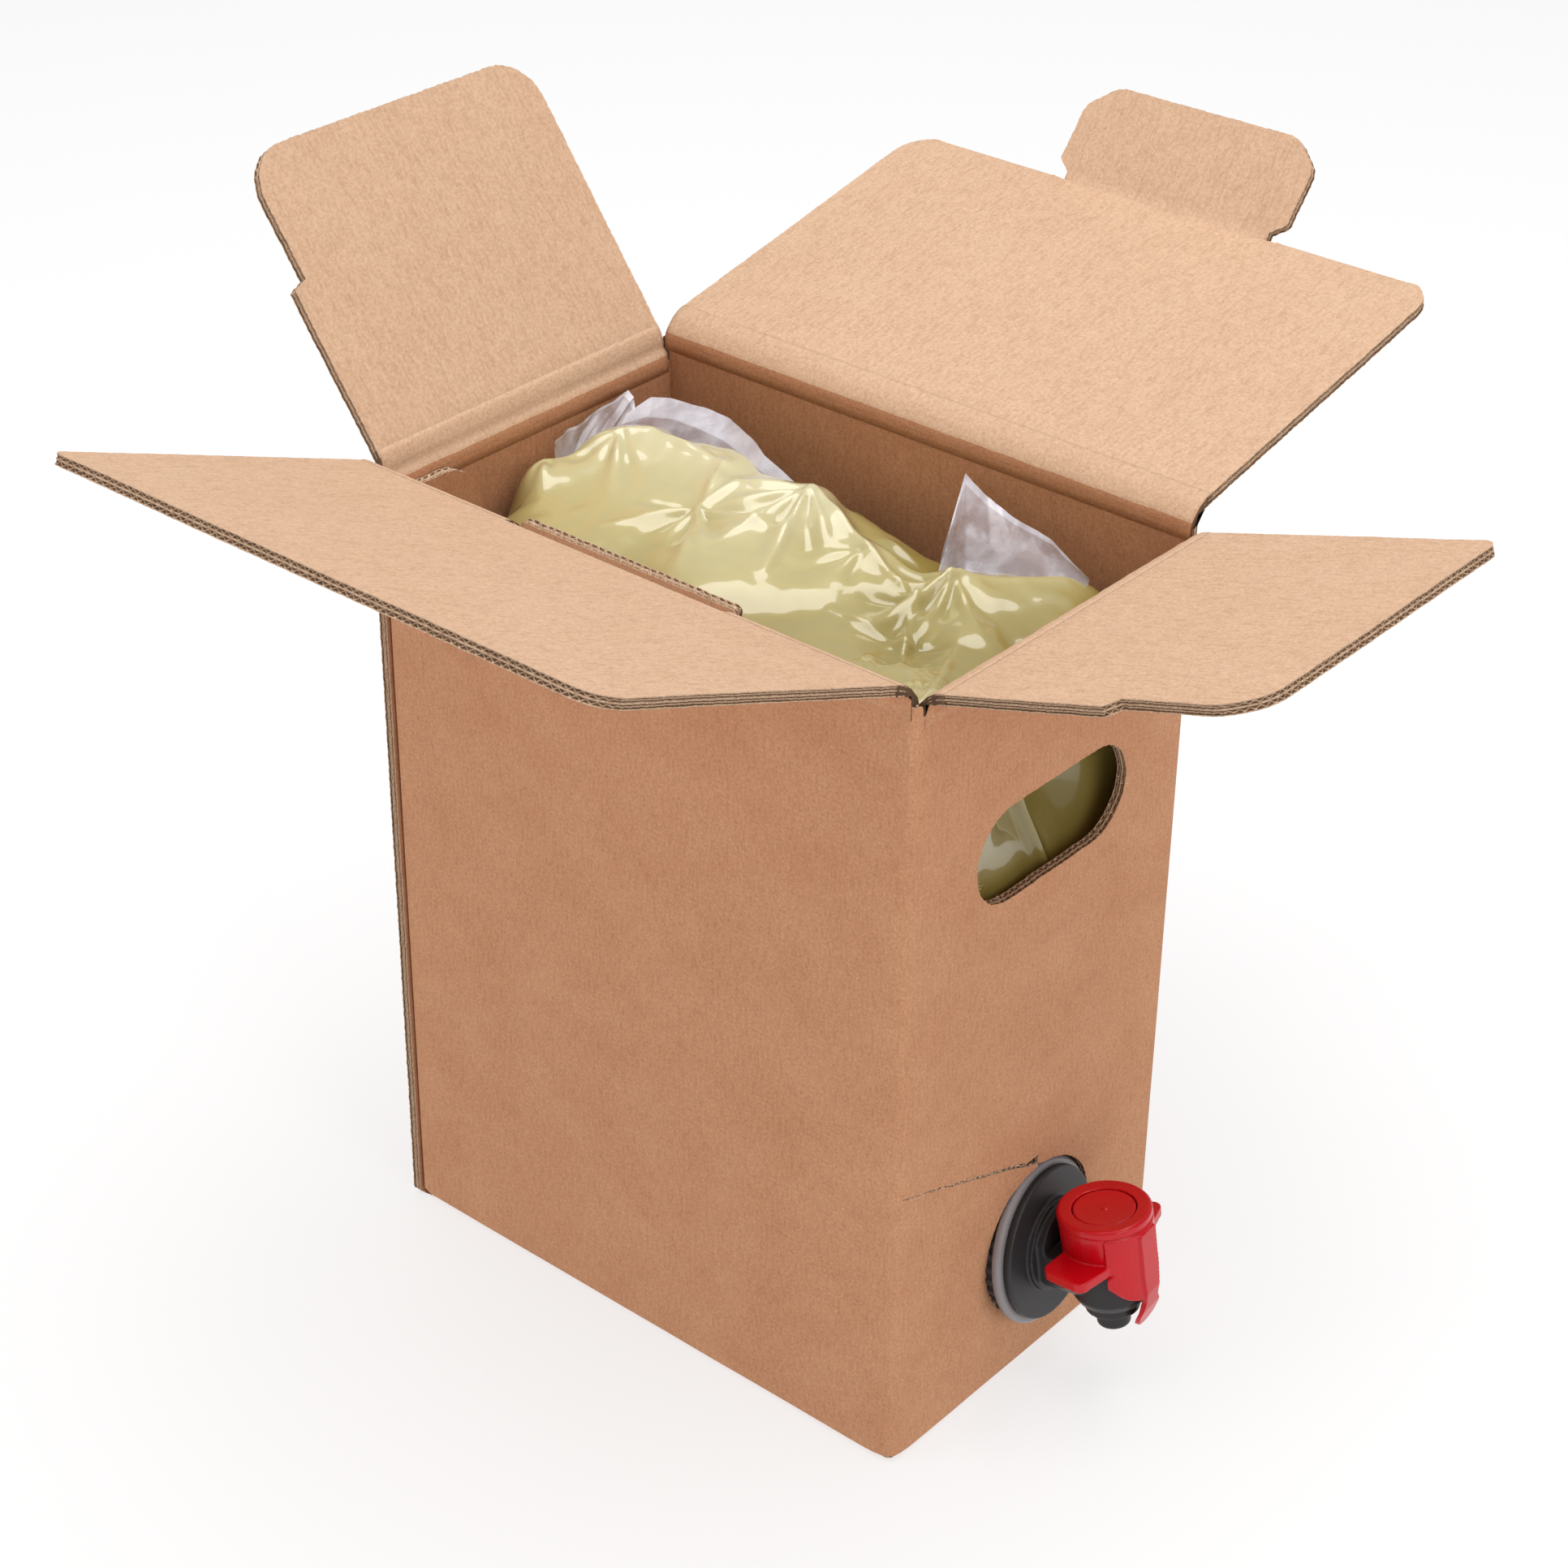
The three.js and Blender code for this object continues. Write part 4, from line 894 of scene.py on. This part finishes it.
# Bumps: x, y, height, reach
BAG_POINTS = [
    (-94, -23, 224, 12), (-84, -4, 238, 10), (-84, 3, 233, 9), (-77, 12, 238, 10), (-74, 18, 242, 10),
    (-66, 21, 242, 10), (-52, 22, 242, 11), (-38, 20, 240, 10), (-29, 13, 240, 10), (-18, 17, 242, 9),
    (-7, 23, 242, 9), (-30, 0, 235, 9), (-52, 5, 237, 16), (-55, -20, 233, 18), (-8, 3, 238, 12),
    (-8, -18, 236, 14), (0, 18, 240, 8), (19, 14, 236, 9), (31, 11, 231, 9), (41, 8, 228, 9),
    (12, -4, 234, 12), (35, -18, 230, 12), (51, -8, 226, 11), (45, 22, 233, 9), (55, 31, 231, 9),
    (63, 39, 231, 9), (69, 48, 229, 9), (58, 5, 230, 9), (75, -5, 228, 12), (75, 25, 228, 12),
    (83, -46, 236, 12), (62, -40, 231, 14), (20, -45, 229, 20), (-30, -45, 229, 20),
    (-75, -45, 226, 16), (4, 32, 229, 9), (13, 33, 229, 9), (24, 31, 226, 9), (34, 36, 222, 9),
    (-20, 38, 226, 10), (-60, 40, 228, 12), (-85, 35, 224, 12), (15, 50, 216, 12), (-30, 52, 218, 12),
    (50, 52, 220, 10), (-70, 54, 216, 12), (88, 50, 218, 12), (88, 10, 222, 12), (90, -20, 228, 10),
]
# Folds: x, y, count, first and last direction in degrees, reach, depth
BAG_FANS = [
    (-30, 0, 9, 190, 395, 34, 2.2), (-7, 21, 8, 200, 330, 40, 2.4), (45, 20, 9, 190, 345, 34, 2.4),
    (41, 8, 6, 150, 330, 26, 2.0), (-74, 16, 7, 215, 330, 36, 2.0), (83, -46, 8, 80, 200, 34, 2.2),
    (19, 12, 5, 200, 300, 30, 1.6), (-84, -4, 5, 240, 340, 22, 1.6), (55, -8, 5, 10, 300, 26, 1.8),
]
# Raised folds from one point to another: x0, y0, x1, y1, height, half width
BAG_RIDGES = [
    (-80, 12, -66, 21, 1.6, 2.2), (-66, 21, -38, 20, 1.8, 2.4), (-38, 20, -30, 2, 2.0, 2.0),
    (-30, 2, -28, 14, 1.4, 1.6), (-28, 14, -7, 23, 1.2, 2.2), (-7, 23, 19, 14, 2.6, 2.4),
    (19, 14, 41, 8, 3.0, 2.2), (41, 8, 45, 22, 2.4, 2.0), (45, 22, 69, 48, 1.2, 2.4),
    (45, 22, 40, -10, 2.2, 2.2), (12, 32, 24, 30, 1.4, 1.8), (-7, 21, -14, -12, 1.6, 2.0),
    (-7, 21, 6, -14, 2.0, 1.8), (-84, -4, -92, -20, 1.4, 2.0), (60, 4, 84, -44, 1.8, 2.4),
    (28, -12, 52, -10, 1.8, 1.6), (-30, 0, -48, -20, 1.4, 2.0), (-30, 0, -14, -26, 1.2, 2.0),
    (41, 6, 60, -22, 2.2, 1.8),
]


def segment_distance(x, y, x0, y0, x1, y1):
    """How far each point lies from a segment, and its share of the way along it."""
    dx, dy = x1 - x0, y1 - y0
    length2 = dx * dx + dy * dy
    t = np.clip(((x - x0) * dx + (y - y0) * dy) / length2, 0, 1)
    return np.hypot(x - x0 - t * dx, y - y0 - t * dy), t


def bag_height(x, y):
    weight = np.full(x.shape, 1e-3)
    total = weight * BAG_MIDDLE_Z
    for px, py, pz, reach in BAG_POINTS:
        w = np.exp(-((x - px) ** 2 + (y - py) ** 2) / (2 * (reach * 0.62) ** 2))
        total = total + w * pz
        weight = weight + w
    z = total / weight
    rng = np.random.default_rng(12)
    for px, py, count, a0, a1, reach, depth in BAG_FANS:
        for k in range(count):
            a = math.radians(a0 + (a1 - a0) * (k + rng.uniform(0.2, 0.8)) / count)
            far = reach * rng.uniform(0.55, 1.1)
            d, t = segment_distance(x, y, px, py, px + far * math.cos(a), py + far * math.sin(a))
            width = 0.9 + 2.2 * t
            side = 1 if k % 2 else -0.8
            z = z + side * depth * rng.uniform(0.4, 1.0) * (1 - t) ** 0.8 * np.exp(-(d / width) ** 2)
    for x0, y0, x1, y1, high, half in BAG_RIDGES:
        d, t = segment_distance(x, y, x0, y0, x1, y1)
        z = z + high * np.exp(-np.abs(d / half) ** 1.3) * (0.45 + 0.55 * np.sin(math.pi * t))
    z = z + 0.5 * waves(x, y, 26, 91, 3)
    return z


def filled_bag():
    x0, x1 = -HALF_L + BOARD + BAG_CLEAR, HALF_L - BOARD - BAG_CLEAR
    y1 = HALF_W - BOARD - BAG_CLEAR
    nx, ny = 300, 190
    gx = np.linspace(-1, 1, nx)
    gy = np.linspace(-1, 1, ny)
    gx = np.sign(gx) * (1 - (1 - np.abs(gx)) ** 1.25)
    gy = np.sign(gy) * (1 - (1 - np.abs(gy)) ** 1.25)
    u, v = np.meshgrid(gx, gy)
    x = (x0 + x1) / 2 + u * (x1 - x0) / 2
    y = v * y1
    from_end, from_side = np.minimum(x - x0, x1 - x), np.minimum(y + y1, y1 - y)
    t = np.clip(1 - np.minimum(from_end, from_side) / 14, 0, 1)
    drop = 17 * (1 - np.sqrt(1 - t * t))
    corner = np.clip(18 - from_end, 0, 18) * np.clip(18 - from_side, 0, 18) / 18
    near_corner = (x > 60) & (y < -30)
    drop = drop + np.where(near_corner, 0.15, 0.35) * corner
    z = np.minimum(bag_height(x, y), BAG_TOP_LIMIT + 0.5) - np.where(near_corner, drop * 0.35, drop)
    # Height share that sets the film's colour: painted shade low down, painted light on the crests
    depth = np.clip((z - 218) / 24, 0, 1)
    points = [np.stack((x, y, z), -1).reshape(-1, 3)]
    bag = [np.stack((x, y, depth), -1).reshape(-1, 3)]
    index = np.arange(nx * ny).reshape(ny, nx)
    a, b, c, d = index[:-1, :-1], index[:-1, 1:], index[1:, 1:], index[1:, :-1]
    faces = np.stack((a, b, c, d), -1).reshape(-1, 4).tolist()
    ring = np.concatenate((index[0, :-1], index[:-1, -1], index[-1, :0:-1], index[:0:-1, 0]))
    base = points[0][ring]
    count = len(ring)
    previous = ring
    low_rows = []
    perimeter = np.arange(count)
    flat = base[:, :2]
    centre = np.array(((x0 + x1) / 2, 0))
    at_wall = np.abs(flat - centre) > np.array(((x1 - x0) / 2 - 0.6, y1 - 0.6))
    direction = np.sign(flat - centre) * at_wall
    on_tap_wall = base[:, 0] > x1 - 0.5
    for r in range(1, BAG_ROWS + 1):
        share = r / BAG_ROWS
        level = base[:, 2] + (BAG_BOTTOM - base[:, 2]) * share
        wrinkle = 0.9 * waves(perimeter * 0.5, level * 0.35, 34, 55, 3) - 1.0
        tight = np.minimum(1, share * 10) * np.minimum(1, (1 - share) * 14 + 0.2)
        moved = flat + direction * (wrinkle * tight)[:, None]
        hollow = np.exp(-((level - 187) / 20) ** 2 - ((base[:, 1] - 8) / 34) ** 2)
        depth_in = 3.0 + 12.0 * smoothstep(-26, 22, base[:, 1] + 0.9 * (level - 185))
        seam = 5.0 * np.exp(-((base[:, 1] - 2 + 0.25 * (level - 185)) / 2.2) ** 2)
        moved[:, 0] -= on_tap_wall * hollow * (depth_in - seam)
        low_rows.append(np.column_stack((moved, level)))
    for row in low_rows:
        start = sum(len(p) for p in points)
        points.append(row)
        # The bag's sides take a fixed low share, which is painted shade
        shade = np.full(count, 0.30)
        bag.append(np.column_stack((row[:, :2], shade)))
        now = np.arange(start, start + count)
        nxt = np.roll(now, -1)
        pn = np.roll(previous, -1)
        faces.extend(np.stack((previous, now, nxt, pn), -1).tolist())
        previous = now
    faces.append(previous[::-1].tolist())
    obj = make_object("film_bag", np.vstack(points), faces, [BAG], attributes={"bag": np.vstack(bag)})
    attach(obj, "carton")
    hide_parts("filled_bag")


def film_ear(name, base, tip, seed, band=0.35, wobble=1.2, curl=2.0):
    """A clear film ear: a wrinkled sheet between a base line and a free edge, both lists of points."""
    base, tip = np.array(base, float), np.array(tip, float)
    nu, nv = 70, 34

    def along(line, t):
        key = np.linspace(0, 1, len(line))
        return np.stack([np.interp(t, key, line[:, i]) for i in range(3)], -1)

    t = np.linspace(0, 1, nu)
    a, b = along(base, t), along(tip, t)
    side = np.cross(base[-1] - base[0], (0, 0, 1.0))
    side /= np.linalg.norm(side)
    points, film = [], []
    for j in range(nv):
        v = j / (nv - 1)
        row = a + (b - a) * v
        fold = wobble * waves(t * 60, np.full(nu, v * 9.0), 18, seed, 3)
        fold = fold * math.sin(math.pi * min(1, v * 1.2) / 2)
        row = row + side * (fold + curl * v * v)[:, None]
        points.append(row)
        film.append(np.stack((t, np.full(nu, v), np.full(nu, float(v > 1 - band))), -1))
    index = np.arange(nu * nv).reshape(nv, nu)
    faces = np.stack((index[:-1, :-1], index[:-1, 1:], index[1:, 1:], index[1:, :-1]), -1)
    faces = faces.reshape(-1, 4).tolist()
    obj = make_object(name, np.vstack(points), faces, [FILM], attributes={"film": np.vstack(film)})
    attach(obj, "carton")


def film_ears():
    film_ear(
        "film_ear_rear", [(-86, 2, 231), (-85, 11, 233), (-80, 24, 234)],
        [(-88, 2, 239), (-89.5, 12, 239.5), (-90, 22, 241), (-89.2, 34.5, 243.4), (-86, 34, 241),
         (-80, 29, 238)], 61, 0.1,
    )
    film_ear(
        "film_ear_back", [(-80, 20, 235), (-60, 24, 237), (-40, 23, 235), (-20, 20, 235)],
        [(-83, 29, 239), (-80, 36.5, 242.6), (-74, 38.5, 243.4), (-63, 40, 243.5), (-52.5, 39.6, 243.2),
         (-40, 34.5, 243.0), (-30, 29, 242.6), (-17, 27.5, 238.5)], 62, 0.45, 0.5, 0.6,
    )
    film_ear(
        "film_ear_tap", [(33, 27, 223), (45, 24, 230), (58, 34, 229), (70, 46, 228)],
        [(30, 34, 231), (23, 50, 240), (19.8, 56.8, 243.5), (32, 50.5, 242.6), (43, 49, 240.5),
         (56, 48.5, 238.5), (70, 47.5, 231)], 63, 0.12, 0.8, 1.5,
    )


# Moulded tap pieces: the part's own solids with their edges softened

def moulded(name, body, cad_node, material, voxel=0.26, passes=5):
    source = frame["nodes"][cad_node]
    mesh = source.data.copy()
    obj = bpy.data.objects.new(name, mesh)
    bpy.context.scene.collection.objects.link(obj)
    mesh.materials.clear()
    mesh.materials.append(material)
    remesh = obj.modifiers.new("remesh", "REMESH")
    remesh.mode = "VOXEL"
    remesh.voxel_size = voxel * MM
    remesh.use_smooth_shade = True
    soften = obj.modifiers.new("soften", "SMOOTH")
    soften.factor = 0.5
    soften.iterations = passes
    bpy.context.view_layer.update()
    graph = bpy.context.evaluated_depsgraph_get()
    baked = bpy.data.meshes.new_from_object(obj.evaluated_get(graph))
    obj.modifiers.clear()
    obj.data = baked
    baked.materials.clear()
    baked.materials.append(material)
    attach(obj, body)
    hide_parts(cad_node)


def tap():
    moulded("tap_body_moulding", "carton", "tap_body", BLACK, 0.32, 4)
    moulded("grip_moulding", "carton", "tap_grip", RED, 0.25, 4)
    moulded("button_moulding", "button", "push_button", RED, 0.2, 3)
    moulded("gland_moulding", "carton", "bag_gland", GREY, 0.35, 2)
    moulded("toothed_moulding", "carton", "gland_ring", DARK, 0.3, 1)
    moulded("stem_moulding", "button", "valve_stem", WHITE, 0.25, 1)
    moulded("seal_moulding", "button", "valve_seal", RUBBER, 0.2, 1)


# Stage

FLOOR_GLOW = 0.68


def white_floor():
    size = 6000
    corners = [(-size, -size, 0), (size, -size, 0), (size, size, 0), (-size, size, 0)]
    obj = make_object("floor", corners, [[0, 1, 2, 3]], [])
    material, tree = new_material("white_floor")
    plain = node(tree, "ShaderNodeBsdfDiffuse")
    plain.inputs["Color"].default_value = (0.97, 0.97, 0.97, 1)
    glow = node(tree, "ShaderNodeEmission")
    glow.inputs["Color"].default_value = (1, 1, 1, 1)
    glow.inputs["Strength"].default_value = 1.0
    both = node(tree, "ShaderNodeMixShader")
    both.inputs[0].default_value = FLOOR_GLOW
    tree.links.new(plain.outputs[0], both.inputs[1])
    tree.links.new(glow.outputs[0], both.inputs[2])
    finish_material(tree, both)
    obj.data.materials.append(material)


def world():
    made = bpy.data.worlds.new("white")
    bpy.context.scene.world = made
    made.use_nodes = True
    tree = made.node_tree
    tree.nodes.clear()
    path = node(tree, "ShaderNodeLightPath")
    white = mix_colour(tree, "MIX", path.outputs["Is Camera Ray"], (0.36, 0.36, 0.37), (1.0, 1.0, 1.0))
    back = node(tree, "ShaderNodeBackground")
    tree.links.new(white, back.inputs["Color"])
    back.inputs["Strength"].default_value = 1.0
    output = node(tree, "ShaderNodeOutputWorld")
    tree.links.new(back.outputs[0], output.inputs["Surface"])


def area_lamp(name, at, target, size, power):
    data = bpy.data.lights.new(name, "AREA")
    data.shape = "RECTANGLE"
    data.size, data.size_y = size
    data.energy = power
    obj = bpy.data.objects.new(name, data)
    bpy.context.scene.collection.objects.link(obj)
    obj.location = at
    obj.rotation_mode = "QUATERNION"
    obj.rotation_quaternion = (Vector(target) - Vector(at)).to_track_quat("-Z", "Y")


def lamps():
    area_lamp("top_softbox", (0.1, 0.1, 1.9), (0, 0, 0.1), (1.7, 1.7), 33)
    area_lamp("right_softbox", (1.7, -0.4, 0.9), (0, 0, 0.15), (1.0, 1.2), 9)
    area_lamp("left_softbox", (-1.0, -1.7, 0.9), (0, 0, 0.15), (1.0, 1.2), 9)


def camera():
    data = bpy.data.cameras.new("camera")
    data.sensor_width = 36
    data.lens = CAMERA_LENS
    data.clip_start, data.clip_end = 0.05, 50
    obj = bpy.data.objects.new("camera", data)
    bpy.context.scene.collection.objects.link(obj)
    right, up, forward = Vector(CAMERA_RIGHT), Vector(CAMERA_UP), Vector(CAMERA_FORWARD)
    turn = Matrix((right, up, -forward)).transposed()
    obj.matrix_world = Matrix.Translation(Vector(CAMERA_AT) * MM) @ turn.to_4x4()
    bpy.context.scene.camera = obj


bpy.context.scene.view_settings.view_transform = "Standard"
camera()
world()
lamps()
white_floor()
walls()
floor_panel()
lock_flap()
cover_flap()
side_flap("rear_flap_board", "rear_side", "rear_side_flap", (-1, 0), REAR_AT, REAR_SIDE_SLOPE, 1, 7)
side_flap("tap_flap_board", "tap_side", "tap_side_flap", (1, 0), TAP_SIDE_AT, TAP_SIDE_SLOPE, -1, 9)
creases()
filled_bag()
film_ears()
tap()
